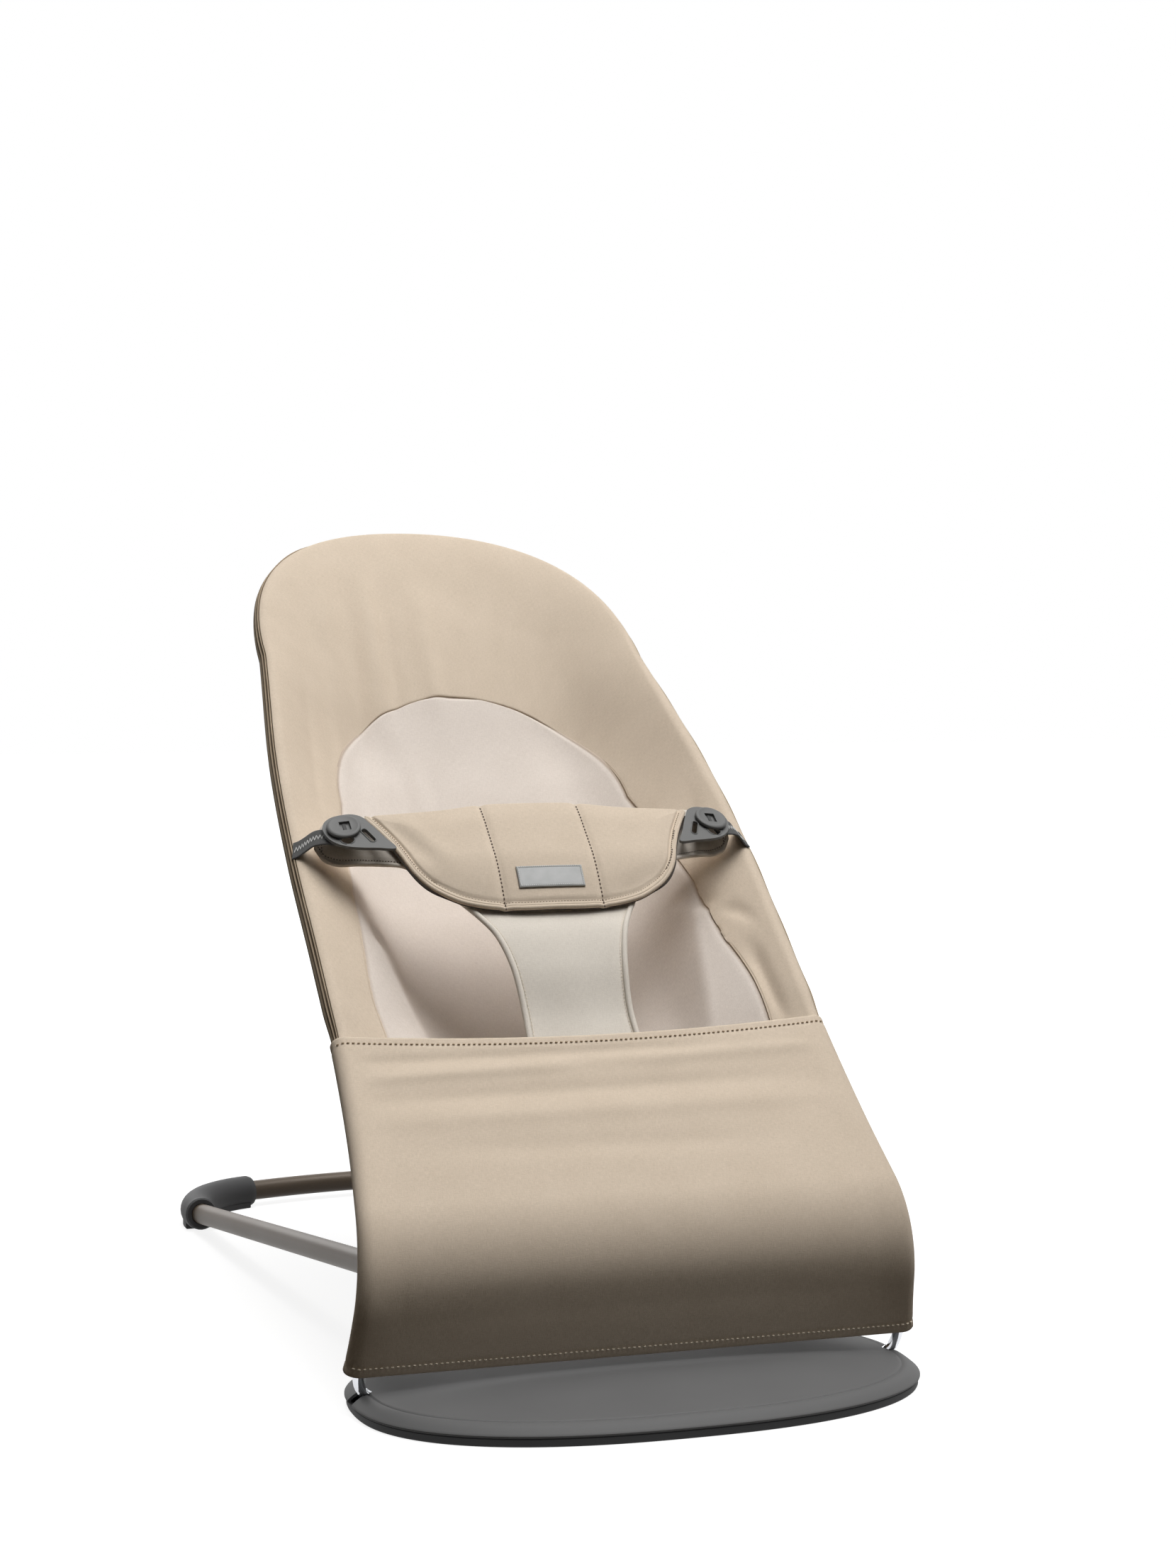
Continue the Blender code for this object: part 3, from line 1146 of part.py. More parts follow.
def build_tab():
    """The flap's lining, a soft tongue that droops from under the buckle plate towards the side wire."""
    low, high = np.array(TAB_EDGE), np.array(TAB_TOP)
    xs = np.concatenate([np.linspace(low[0, 0], 0.146, 11), (0.1492, 0.1513, 0.1525)])
    v = np.linspace(0, 1, 6)[:, None]
    low_s, high_s = knots(xs, low[:, :2]), knots(xs, high[:, :2])
    low_depth, high_depth = knots(xs, low[:, ::2]), knots(xs, high[:, ::2])
    s = low_s + (high_s - low_s) * v
    depth = high_depth + (low_depth - high_depth) * (1 - v) ** 1.6
    xs = np.broadcast_to(xs, s.shape)
    points, faces = closed_pad(place(xs, s, depth), place(xs, s, depth + TAB_THICKNESS))
    tab = turn_outward(add_object("flap_tab_right", mesh_of("flap_tab_right", points, faces), LIGHT_COTTON))
    smooth(tab, 60)
    return tab


def build_buckles():
    """Keyhole plates on the flap's ends, disc buttons through them, elastic straps and lining tabs."""
    for piece in (build_buckle_plate(), build_tab()):
        set_origin(piece, (0.0, *hub_centre()))
        left_copy(piece)
    for piece in (build_buckle_button(), build_strap()):
        set_origin(piece, tuple(place(BUTTON_X, BUTTON_AT, -PLATE_LIFT)))
        left_copy(piece)


build_base()
build_frame()
build_leg()
build_hubs()
build_sling()
build_lower_panel()
build_waist_flap()
build_crotch_panel()
build_buckles()
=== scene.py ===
"""Baby bouncer: a cloth sling on a sprung wire frame, with a tube leg and a flat base plate.

X runs across the bouncer, +Y to its back and +Z up, in metres. Most of the cloth is laid out in the frame's
own measures: x across, s along the side wires from the base plate to the head, and d below their plane.
"""

import math

import bmesh
import bpy
import numpy as np
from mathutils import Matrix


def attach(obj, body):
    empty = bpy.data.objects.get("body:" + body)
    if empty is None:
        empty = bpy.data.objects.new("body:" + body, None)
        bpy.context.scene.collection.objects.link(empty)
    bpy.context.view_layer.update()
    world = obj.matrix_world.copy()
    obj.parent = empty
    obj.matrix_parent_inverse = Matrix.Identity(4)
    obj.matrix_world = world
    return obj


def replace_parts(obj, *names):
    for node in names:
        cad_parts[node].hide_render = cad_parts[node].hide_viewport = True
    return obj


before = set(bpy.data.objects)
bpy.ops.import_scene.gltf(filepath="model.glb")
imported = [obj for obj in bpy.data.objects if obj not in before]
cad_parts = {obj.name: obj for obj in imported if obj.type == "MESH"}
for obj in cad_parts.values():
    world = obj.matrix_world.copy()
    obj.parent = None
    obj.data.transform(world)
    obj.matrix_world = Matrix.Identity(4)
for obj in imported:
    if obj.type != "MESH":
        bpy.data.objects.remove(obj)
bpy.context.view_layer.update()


# ---------------------------------------------------------------------------------------------
# Base plate: a domed cover moulded in dark grey plastic with a bevelled rim and a crease round its
# field. It is screwed from below through a black rubber sole to a thin steel carrier, and two
# saddles under it hold the wire's cross bar, so that the seat can rock on it a little.
# ---------------------------------------------------------------------------------------------

PLATE_HALF_WIDTH, PLATE_HALF_DEPTH, PLATE_POWER = 0.1864, 0.1136, 2.4
SOLE_RIM_HEIGHT, SOLE_INSET, SOLE_RIM_WIDTH, SOLE_FLOOR = 0.0053, 0.0012, 0.0032, 0.003
COVER_LOW, COVER_WALL, BEVEL_RISE, BEVEL_WIDTH = 0.0056, 0.002, 0.0056, 0.01
CREASE_INSET, FIELD_LOW, FIELD_RISE = 0.0115, 0.0131, 0.0065
AXLE_Y, AXLE_Z, WIRE_RADIUS, WIRE_SLOT_HALF = 0.003, 0.008, 0.0035, 0.0058


def paint(red, green, blue):
    """A linear colour from the 0 to 255 values in which it is matched."""
    share = np.array([red, green, blue]) / 255
    return tuple(np.where(share > 0.04045, ((share + 0.055) / 1.055) ** 2.4, share / 12.92))


class Value:
    """A number that varies over a material: sums and products of it add the Math nodes they stand for."""

    def __init__(self, nodes, socket):
        self.nodes, self.socket = nodes, socket

    def maths(self, operation, *others):
        return self.nodes.add("ShaderNodeMath", {"operation": operation}, dict(enumerate((self, *others))))

    def __add__(self, other):
        return self.maths("ADD", other)

    def __sub__(self, other):
        return self.maths("SUBTRACT", other)

    def __rsub__(self, other):
        return self.maths("MULTIPLY", -1.0).maths("ADD", other)

    def __mul__(self, other):
        return self.maths("MULTIPLY", other)

    __radd__, __rmul__ = __add__, __mul__


class Nodes:
    """A node tree in the making. add() makes any node and returns one of its outputs."""

    def __init__(self, tree):
        self.tree = tree

    def join(self, socket, value):
        if isinstance(value, Value):
            self.tree.links.new(value.socket, socket)
        elif socket.type == "RGBA":
            socket.default_value = (*value, 1.0)
        else:
            socket.default_value = value

    def add(self, kind, settings=None, inputs=None, output=0):
        node = self.tree.nodes.new(kind)
        for name, value in (settings or {}).items():
            setattr(node, name, value)
        for name, value in (inputs or {}).items():
            self.join(node.inputs[name], value)
        return Value(self, node.outputs[output])

    def mix(self, low, high, share):
        """A colour between low and high."""
        return self.add("ShaderNodeMix", {"data_type": "RGBA"}, {0: share, 6: low, 7: high}, output=2)

    def seen(self):
        """1 for the camera and for reflections, and 0 for the light that falls on other things."""
        rays = [self.add("ShaderNodeLightPath", output=kind) for kind in ("Is Camera Ray", "Is Glossy Ray")]
        return rays[0].maths("MAXIMUM", rays[1])


class Finish(Nodes):
    """A Principled material in the making."""

    def __init__(self, name, colour, roughness, **sockets):
        self.material = bpy.data.materials.new(name)
        self.material.use_nodes = True
        super().__init__(self.material.node_tree)
        self.shader = self.tree.nodes["Principled BSDF"]
        self.set(Base_Color=colour, Roughness=roughness, **sockets)

    def set(self, **sockets):
        for name, value in sockets.items():
            self.join(self.shader.inputs[name.replace("_", " ")], value)
        return self

    def place(self, kind="Object", scale=(1.0, 1.0, 1.0)):
        """Coordinates on the piece, in metres, stretched by scale."""
        here = self.add("ShaderNodeTexCoord", output=kind)
        return self.add("ShaderNodeMapping", inputs={"Vector": here, "Scale": scale})

    def noise(self, scale, where, detail=3.0, roughness=0.55):
        inputs = {"Vector": where, "Scale": scale, "Detail": detail, "Roughness": roughness}
        return self.add("ShaderNodeTexNoise", inputs=inputs)

    def relief(self, height, distance, strength=1.0):
        """Raises the surface by height times distance, as far as the light can tell."""
        inputs = {"Height": height, "Distance": distance, "Strength": strength}
        return self.set(Normal=self.add("ShaderNodeBump", inputs=inputs))


def moulded(name, colour, roughness, grain=900.0, depth=0.00004):
    """Injection-moulded plastic or rubber: a spark-eroded grain, and sheen that varies a little."""
    finish = Finish(name, colour, roughness)
    where = finish.place()
    cloud = finish.noise(14.0, where)
    pits = finish.noise(grain, where, detail=2.0)
    dark, light = (tuple(c * k for c in colour) for k in (0.9, 1.1))
    finish.set(Base_Color=finish.mix(dark, light, cloud), Roughness=roughness - 0.05 + 0.1 * cloud)
    return finish.relief(pits, depth, 0.6)


def metal(name, colour, roughness, scratch=0.05, **sockets):
    """Plated or rolled steel with faint rubbed marks."""
    finish = Finish(name, colour, roughness, Metallic=1.0, **sockets)
    marks = finish.noise(60.0, finish.place(scale=(1.0, 1.0, 6.0)), detail=5.0)
    return finish.set(Roughness=roughness - scratch / 2 + scratch * marks)


def shown(name, mesh, finish, angle):
    """The object of a mesh: smooth but for edges sharper than angle, in its finish."""
    mesh.shade_smooth()
    mesh.set_sharp_from_angle(angle=math.radians(angle))
    obj = bpy.data.objects.new(name, mesh)
    bpy.context.scene.collection.objects.link(obj)
    mesh.materials.clear()
    mesh.materials.append(finish.material)
    return obj


def piece(name, points, faces, finish, slot, corners=None, angle=40.0, facing=None, seam=None):
    """A mesh piece from arrays: doubles are merged, and its faces point outwards, or towards facing."""
    mesh = bpy.data.meshes.new(name)
    mesh.from_pydata(np.asarray(points, float).tolist(), [], [list(face) for face in faces])
    if seam is not None:
        shades = np.asarray(seam, np.float32).ravel()
        mesh.attributes.new("seam", "FLOAT", "POINT").data.foreach_set("value", shades)
    if corners is not None:
        mesh.uv_layers.new(name="cloth").data.foreach_set("uv", np.asarray(corners, np.float32).ravel())
    work = bmesh.new()
    work.from_mesh(mesh)
    bmesh.ops.remove_doubles(work, verts=work.verts, dist=1e-6)
    if facing is None:
        bmesh.ops.recalc_face_normals(work, faces=work.faces)
    elif sum((f.normal.dot(facing) * f.calc_area() for f in work.faces)) < 0:
        bmesh.ops.reverse_faces(work, faces=work.faces)
    work.to_mesh(mesh)
    work.free()
    return shown(name, mesh, finish, angle)


def grid_faces(rows, columns, around=False, over=False, start=0):
    """Corner numbers of the quads of a grid; it closes on itself across the columns or over the rows."""
    index = start + np.arange(rows * columns).reshape(rows, columns)
    if around:
        index = np.concatenate([index, index[:, :1]], axis=1)
    if over:
        index = np.concatenate([index, index[:1]], axis=0)
    return np.stack([index[:-1, :-1], index[:-1, 1:], index[1:, 1:], index[1:, :-1]], axis=-1).reshape(-1, 4)


def surface(name, grid, finish, slot, uv=None, around=False, over=False, angle=40.0, facing=None, seam=None):
    """A piece through a grid of points; uv gives each point's place on the flat cloth, in metres.

    seam is 1 at the points where a seam shades the cloth and 0 away from it.
    """
    corners = None
    if uv is not None:
        corners = uv.reshape(-1, 2)[grid_faces(*uv.shape[:2])]
    faces = grid_faces(*grid.shape[:2], around, over)
    return piece(name, grid.reshape(-1, 3), faces, finish, slot, corners, angle, facing, seam)


def outline(inset, count=288):
    """The plate's outline: a superellipse, |x/a|^p + |y/b|^p = 1, drawn in by inset."""
    turn = 2 * np.pi * np.arange(count) / count
    c, s = np.cos(turn), np.sin(turn)
    x = (PLATE_HALF_WIDTH - inset) * np.sign(c) * np.abs(c) ** (2 / PLATE_POWER)
    y = (PLATE_HALF_DEPTH - inset) * np.sign(s) * np.abs(s) ** (2 / PLATE_POWER)
    return np.stack([x, y], axis=-1)


def dished(profile):
    """Rings of the plate from rows of (inset, height), or (inset, height, share of that outline)."""
    rings = []
    for inset, height, *share in profile:
        flat = outline(inset) * (share[0] if share else 1.0)
        rings.append(np.column_stack([flat, np.full(len(flat), height)]))
    return np.array(rings)


def field_height(share):
    """Height of the domed field where share of the way out to the crease is reached: a flat-topped bowl."""
    return FIELD_LOW + FIELD_RISE * (1 - share**2.5)


def cutting(obj, *shells):
    """Cuts closed shells of (points, faces) out of a piece."""
    for points, faces in shells:
        knife = piece("knife", points, faces, PLATE_PLASTIC, "base_plastic")
        step = obj.modifiers.new("cut", "BOOLEAN")
        step.operation, step.object = "DIFFERENCE", knife
        graph = bpy.context.evaluated_depsgraph_get()
        cut = obj.evaluated_get(graph)
        made = bpy.data.meshes.new_from_object(cut, preserve_all_data_layers=True, depsgraph=graph)
        obj.modifiers.remove(step)
        old, obj.data = obj.data, made
        bpy.data.meshes.remove(old)
        bpy.data.objects.remove(knife, do_unlink=True)
    obj.data.shade_smooth()
    obj.data.set_sharp_from_angle(angle=math.radians(30))
    return obj


def block(low, high):
    """Points and faces of a box."""
    (a, b, c), (d, e, f) = low, high
    points = [(a, b, c), (d, b, c), (d, e, c), (a, e, c), (a, b, f), (d, b, f), (d, e, f), (a, e, f)]
    faces = [(3, 2, 1, 0), (4, 5, 6, 7), (0, 1, 5, 4), (1, 2, 6, 5), (2, 3, 7, 6), (3, 0, 4, 7)]
    return np.array(points), faces


def softened(obj, width, segments=2, angle=35.0):
    """Rounds a piece's sharp edges."""
    bevel = obj.modifiers.new("eased edges", "BEVEL")
    bevel.width, bevel.segments, bevel.angle_limit = width, segments, math.radians(angle)
    bevel.harden_normals = False
    return obj


PLATE_PLASTIC = moulded("satin grey plate plastic", paint(90, 90, 90), 0.6, grain=1400.0, depth=0.00003)
PLATE_PLASTIC.set(Specular_IOR_Level=0.25)
SOLE_RUBBER = moulded("black sole rubber", paint(38, 38, 39), 0.75)
STEEL = metal("rolled zinc steel", paint(176, 177, 178), 0.38)

edge_rows = ((0.0008, 0.0), (0.0, 0.0006), (0.0, 0.0014), (0.0004, 0.002))
upper = [(inset, COVER_LOW + rise) for inset, rise in edge_rows]
for inset in (0.0012, 0.0024, 0.004, 0.006, 0.008):
    upper.append((inset, COVER_LOW + 0.0016 + BEVEL_RISE * math.sin(0.5 * math.pi * inset / BEVEL_WIDTH)))
upper += [(0.0096, 0.01275), (0.0104, 0.01262), (0.011, 0.0124), (CREASE_INSET, 0.0124), (0.0119, 0.01285)]
upper += [(0.0125, 0.01325)]
field_shares = (0.985, 0.96, 0.92, 0.86, 0.78, 0.68, 0.56, 0.43, 0.3, 0.16, 0.0)
field = [(CREASE_INSET, field_height(share), share) for share in field_shares]
inside = [(0.0024, 0.0092), (0.008, 0.0127), *field][::-1]
under = [(inset, height - COVER_WALL, *share) for inset, height, *share in inside] + [(0.0024, COVER_LOW)]
cover_rings = dished(upper + field + under)
base_cover = surface("base_cover_shell", cover_rings, PLATE_PLASTIC, "base_plastic", around=True, over=True)
front, behind = AXLE_Y - WIRE_SLOT_HALF, AXLE_Y + WIRE_SLOT_HALF
slots = [block((x, front, 0.0), (x + 0.03, behind, 0.05)) for x in (0.1745, -0.2045)]
cutting(base_cover, *slots)
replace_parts(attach(base_cover, "base"), "base_cover")

rim_inset = SOLE_INSET + SOLE_RIM_WIDTH
sole_rows = [(0.0022, 0.0), (SOLE_INSET + 0.0004, 0.0005), (SOLE_INSET, 0.0014), (SOLE_INSET, 0.0047)]
sole_rows += [(0.0017, SOLE_RIM_HEIGHT), (0.004, SOLE_RIM_HEIGHT)]
sole_rows += [(rim_inset, 0.0048), (rim_inset, SOLE_FLOOR)]
sole_rows += [(0.02, SOLE_FLOOR, k) for k in (1.0, 0.5, 0.0)] + [(0.02, 0.0, k) for k in (0.0, 0.5, 1.0)]
sole_rings = dished(sole_rows)
base_sole = surface("base_sole_mat", sole_rings, SOLE_RUBBER, "sole_rubber", around=True, over=True, angle=30)
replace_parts(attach(base_sole, "base"), "base_sole")


def refined(node, finish, body, width=0.0004):
    """A moulded or turned CAD piece with its doubles merged, its edges eased and its own finish."""
    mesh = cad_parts[node].data.copy()
    mesh.name = node + "_made"
    work = bmesh.new()
    work.from_mesh(mesh)
    bmesh.ops.remove_doubles(work, verts=work.verts, dist=1e-6)
    bmesh.ops.dissolve_limit(work, angle_limit=math.radians(2), verts=work.verts, edges=work.edges)
    work.to_mesh(mesh)
    work.free()
    obj = softened(shown(node + "_made", mesh, finish, 28), width)
    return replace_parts(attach(obj, body), node)


refined("base_underplate", STEEL, "base", 0.0002)
for number in (1, 2, 3, 4):
    refined(f"base_screw_{number}", STEEL, "base", 0.0002)
for side in ("left", "right"):
    refined(f"wire_saddle_{side}", PLATE_PLASTIC, "base")


# ---------------------------------------------------------------------------------------------
# Spring frame: one chromed steel wire, 7 mm thick. It crosses the base plate in the saddles, rises
# up both shins, bends over the knees and runs along the sides to a round head. The cloth hides it
# but for the two short lengths that come out of the plate.
# ---------------------------------------------------------------------------------------------

SHIN_LENGTH, SHIN_HEADING, SHIN_START_Z = 0.055, math.radians(107), 0.011
WIRE_FOOT_S, CROSS_BAR_HALF = 0.016, 0.163
KNEE_RADIUS, BACK_ANGLE = 0.058, math.radians(41.4)
KNEE_ARC = KNEE_RADIUS * (SHIN_HEADING - BACK_ANGLE)
BACK_START = SHIN_LENGTH + KNEE_ARC
BACK_LENGTH, NAPE_LENGTH = 0.6, 0.128
HEAD_AT = BACK_START + BACK_LENGTH + NAPE_LENGTH
HEAD_DEPTH, HEAD_POWER = 0.185, 2.14
SHOULDER_AT = HEAD_AT - HEAD_DEPTH
SIDE_ARCS = ((SHIN_LENGTH, 0.0), (KNEE_ARC, 1 / KNEE_RADIUS), (BACK_LENGTH, 0.2), (NAPE_LENGTH, 1.6))
RAIL_HALF = (
    (0.0, 0.183), (0.1, 0.1755), (0.17, 0.169), (0.24, 0.1655), (0.33, 0.1645), (0.43, 0.164), (0.52, 0.16),
    (SHOULDER_AT, 0.1442),
)


def ease(t):
    """A smooth step from 0 to 1: 3t^2 - 2t^3."""
    t = np.clip(t, 0.0, 1.0)
    return t * t * (3 - 2 * t)


def through(value, places, sizes):
    """A cubic Hermite curve through sizes at rising places; sizes may hold a row for each place."""
    value, places, sizes = np.asarray(value, float), np.array(places, float), np.array(sizes, float)
    if sizes.ndim == 1:
        sizes = sizes.reshape(-1, *[1] * value.ndim)
    sizes = np.broadcast_to(sizes, (len(places), *value.shape))
    slopes = np.gradient(sizes, places, axis=0)
    value = np.clip(value, places[0], places[-1])
    k = np.clip(np.searchsorted(places, value, side="right") - 1, 0, len(places) - 2)
    step = places[k + 1] - places[k]
    t = (value - places[k]) / step
    low, high = (np.take_along_axis(sizes, (k + n)[None], 0)[0] for n in (0, 1))
    start, stop = (np.take_along_axis(slopes, (k + n)[None], 0)[0] for n in (0, 1))
    rise = (3 - 2 * t) * t * t
    return low + (high - low) * rise + step * (start * t * (1 - t) ** 2 - stop * t * t * (1 - t))


def knots(value, table):
    """A smooth curve through the rows (place, size) of a table."""
    return through(value, *np.array(table, float).T)


def side_view(s):
    """(y, z, heading) of the side wires: straight runs and arcs laid end to end."""
    s = np.asarray(s, float)
    y, z = np.full(s.shape, AXLE_Y), np.full(s.shape, SHIN_START_Z)
    heading, start = np.full(s.shape, SHIN_HEADING), 0.0
    for length, bend in SIDE_ARCS:
        run = np.minimum(s - start, length)
        if start > 0:
            run = np.maximum(run, 0)
        turned = heading - bend * run
        if bend:
            y = y + (np.sin(heading) - np.sin(turned)) / bend
            z = z + (np.cos(turned) - np.cos(heading)) / bend
        else:
            y, z = y + run * np.cos(heading), z + run * np.sin(heading)
        heading, start = turned, start + length
    return y, z, heading


def half_width(s):
    """Half the distance between the side wires: a smooth rail, then a superellipse round the head."""
    s = np.asarray(s, float)
    t = np.clip((s - SHOULDER_AT) / HEAD_DEPTH, 0, 1)
    return knots(s, RAIL_HALF) * (1 - t**HEAD_POWER) ** (1 / HEAD_POWER)


def place(x, s, d):
    """Points at x across, s along the side wires and d below their plane."""
    x, s, d = np.broadcast_arrays(np.asarray(x, float), np.asarray(s, float), np.asarray(d, float))
    y, z, heading = side_view(s)
    return np.stack([x, y + d * np.sin(heading), z - d * np.cos(heading)], axis=-1)


def sitter_side(s):
    """The direction out of the seat, towards the sitter, at distance s."""
    _, _, heading = side_view(s)
    return np.stack([np.zeros_like(heading), -np.sin(heading), np.cos(heading)], axis=-1)


def unit(vectors):
    return vectors / np.linalg.norm(vectors, axis=-1, keepdims=True)


def frames(path, up, closed=False):
    """Along a path: its tangents, the up directions squared to them, and the sideways directions."""
    path = np.asarray(path, float)
    if closed:
        along = unit(np.roll(path, -1, axis=0) - np.roll(path, 1, axis=0))
    else:
        along = unit(np.gradient(path, axis=0))
    up = np.broadcast_to(np.asarray(up, float), path.shape)
    up = unit(up - (up * along).sum(-1, keepdims=True) * along)
    return along, up, np.cross(along, up)


def tube(path, radius, up, sides=20, closed=False):
    """Rings of radius round a path: path + radius (cos a up + sin a sideways)."""
    _, up, across = frames(path, up, closed)
    turn = 2 * np.pi * np.arange(sides) / sides
    ring = np.cos(turn)[:, None] * up[:, None] + np.sin(turn)[:, None] * across[:, None]
    return np.asarray(path)[:, None] + ring * np.reshape(radius, (-1, 1, 1))


def capped(path, radius, up, sides=20):
    """A tube with round ends: at each end its radius closes over a quarter circle."""
    path, up = np.asarray(path, float), np.broadcast_to(np.asarray(up, float), np.shape(path))
    along, _, _ = frames(path, up)
    up = np.concatenate([up[:1].repeat(5, 0), up, up[-1:].repeat(5, 0)])
    turn = np.radians([0, 20, 40, 60, 78])
    cap = radius * (1 - np.cos(turn))[:, None]
    start = path[0] + along[0] * (cap - radius)
    stop = (path[-1] - along[-1] * (cap - radius))[::-1]
    sizes = radius * np.sin(turn)
    full = np.concatenate([start, path, stop])
    return tube(full, np.concatenate([sizes, np.full(len(path), radius), sizes[::-1]]), up, sides)


def head_rows(turns):
    """Distances s at given degrees round the head's corner."""
    return SHOULDER_AT + HEAD_DEPTH * np.sin(np.radians(turns)) ** (2 / HEAD_POWER)


rise = np.linspace(WIRE_FOOT_S, SHOULDER_AT, 150)
right_s = np.concatenate([rise, head_rows(np.linspace(3, 90, 44))])
right_wire = place(half_width(right_s), right_s, 0.0)
inner, corner = (np.array([x, AXLE_Y, AXLE_Z]) for x in (CROSS_BAR_HALF, float(half_width(WIRE_FOOT_S))))
t = np.linspace(0, 1, 14)[:-1, None]
bend = (1 - t) ** 2 * inner + 2 * t * (1 - t) * corner + t**2 * right_wire[0]
half_wire = np.concatenate([bend, right_wire[:-1]])
wire_s = np.concatenate([np.full(len(bend), WIRE_FOOT_S), right_s[:-1]])
flipped = half_wire[::-1] * (-1, 1, 1)
cross_bar = np.linspace(flipped[-1], half_wire[0], 12)[1:-1]
wire_path = np.concatenate([half_wire, right_wire[-1:], flipped, cross_bar])
wire_up = sitter_side(np.concatenate([wire_s, [HEAD_AT], wire_s[::-1], np.full(len(cross_bar), WIRE_FOOT_S)]))
CHROME = metal("chromed spring wire", paint(214, 216, 220), 0.1, scratch=0.04)
wire_rings = tube(wire_path, WIRE_RADIUS, wire_up, 24, closed=True)
wire = surface("spring_wire", wire_rings, CHROME, "spring_wire", around=True, over=True)
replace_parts(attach(wire, "seat_frame"), "spring_frame")


# ---------------------------------------------------------------------------------------------
# Hubs: inside each knee a moulded clamp grips the wire and holds a notched steel ring. The leg's
# hub turns on a headed pin beside it, and a soft button is pressed to free the ring when the seat
# is tipped back to another position.
# ---------------------------------------------------------------------------------------------

HUB_PLASTIC = moulded("dark hub plastic", paint(66, 66, 67), 0.48)
RELEASE_RUBBER = moulded("grey release button", paint(112, 112, 113), 0.55)
for side in ("left", "right"):
    refined(f"hub_clamp_{side}", HUB_PLASTIC, "seat_frame", 0.0006)
    refined(f"hub_pin_{side}", STEEL, "seat_frame")
    refined(f"hub_ring_{side}", STEEL, "hub_core", 0.0003)
    refined(f"leg_hub_{side}", HUB_PLASTIC, "rear_leg", 0.0006)
    refined(f"release_button_{side}", RELEASE_RUBBER, f"release_{side}", 0.0005)


# ---------------------------------------------------------------------------------------------
# Leg: one steel tube, 16 mm thick, lacquered in a bronze grey. It leaves both hubs, lies just above
# the floor and bends through the rear corners into a bowed cross bar. A moulded rubber sleeve with
# a flat sole covers each corner.
# ---------------------------------------------------------------------------------------------

HUB = np.array([0.002995, 0.0814313])
LEG_RADIUS, LEG_HUB_MIDDLE, LEG_START = 0.008, 0.1413, 0.021
FOOT_X, FOOT_Y, FOOT_RADIUS, FOOT_FLAT, FOOT_BEND = 0.176, 0.569, 0.0128, 0.0005, 0.074
FOOT_Z = FOOT_RADIUS - FOOT_FLAT
CROSSBAR_BOW = math.radians(17)

hub_point, corner = np.array([LEG_HUB_MIDDLE, *HUB]), np.array([FOOT_X, FOOT_Y, FOOT_Z])
leg_way = unit(corner - hub_point)
heading = math.atan2(leg_way[1], leg_way[0])
centre = corner[:2] + FOOT_BEND * np.array([-math.sin(heading), math.cos(heading)])
turn = np.linspace(heading, math.pi - CROSSBAR_BOW, 40)
plan = centre + FOOT_BEND * np.stack([np.sin(turn), -np.cos(turn)], -1)
bend = np.column_stack([plan, np.full(40, FOOT_Z)])
bar_radius = bend[-1, 0] / math.sin(CROSSBAR_BOW)
bow = np.linspace(CROSSBAR_BOW, 0, 24)[1:]
bar_y = bend[-1, 1] - bar_radius * math.cos(CROSSBAR_BOW)
bar = np.column_stack([bar_radius * np.sin(bow), bar_y + bar_radius * np.cos(bow), np.full(23, FOOT_Z)])
straight = np.linspace(hub_point + leg_way * LEG_START, corner, 20)[:-1]
half_leg = np.concatenate([straight, bend, bar])
leg_path = np.concatenate([half_leg, half_leg[::-1][1:] * (-1, 1, 1)])

LACQUER = Finish("bronze grey lacquer", paint(124, 103, 82), 0.45, Metallic=0.1, Specular_IOR_Level=0.22)
LACQUER.set(Coat_Weight=0.02, Coat_Roughness=0.3)
where = LACQUER.place()
flake = LACQUER.noise(1600.0, where, detail=1.0)
cloud = LACQUER.noise(22.0, where)
LACQUER.set(Base_Color=LACQUER.mix(paint(92, 80, 67), paint(110, 97, 83), 0.5 * flake + 0.5 * cloud))
LACQUER.set(Roughness=0.35 + 0.1 * cloud)
leg_rings = capped(leg_path, LEG_RADIUS, (0, 0, 1), 28)
leg_tube = surface("leg_tubing", leg_rings, LACQUER, "tube_paint", around=True)
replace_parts(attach(leg_tube, "rear_leg"), "leg_tube")

FOOT_RUBBER = moulded("matt grey foot rubber", paint(70, 70, 71), 0.7, grain=1100.0, depth=0.00006)
last_way = unit(bend[-1] - bend[-2])
entry = bend[:1] - leg_way * np.array([[0.01], [0.008], [0.004]])
sleeve_path = np.concatenate([entry, bend, bend[-1:] + last_way * np.array([[0.002], [0.005]])])
outer_size = np.full(len(sleeve_path), FOOT_RADIUS)
outer_size[[0, -1]] -= 0.0012
outer = tube(sleeve_path, outer_size, (0, 0, 1), 28)
outer[..., 2] = np.maximum(outer[..., 2], 0.0002)
bore = tube(sleeve_path, LEG_RADIUS + 0.0004, (0, 0, 1), 28)
sleeve = np.concatenate([outer, bore[::-1]])
ways = unit(np.gradient(bend[:, :2], axis=0))
out = np.stack([ways[:, 1], -ways[:, 0]], -1)
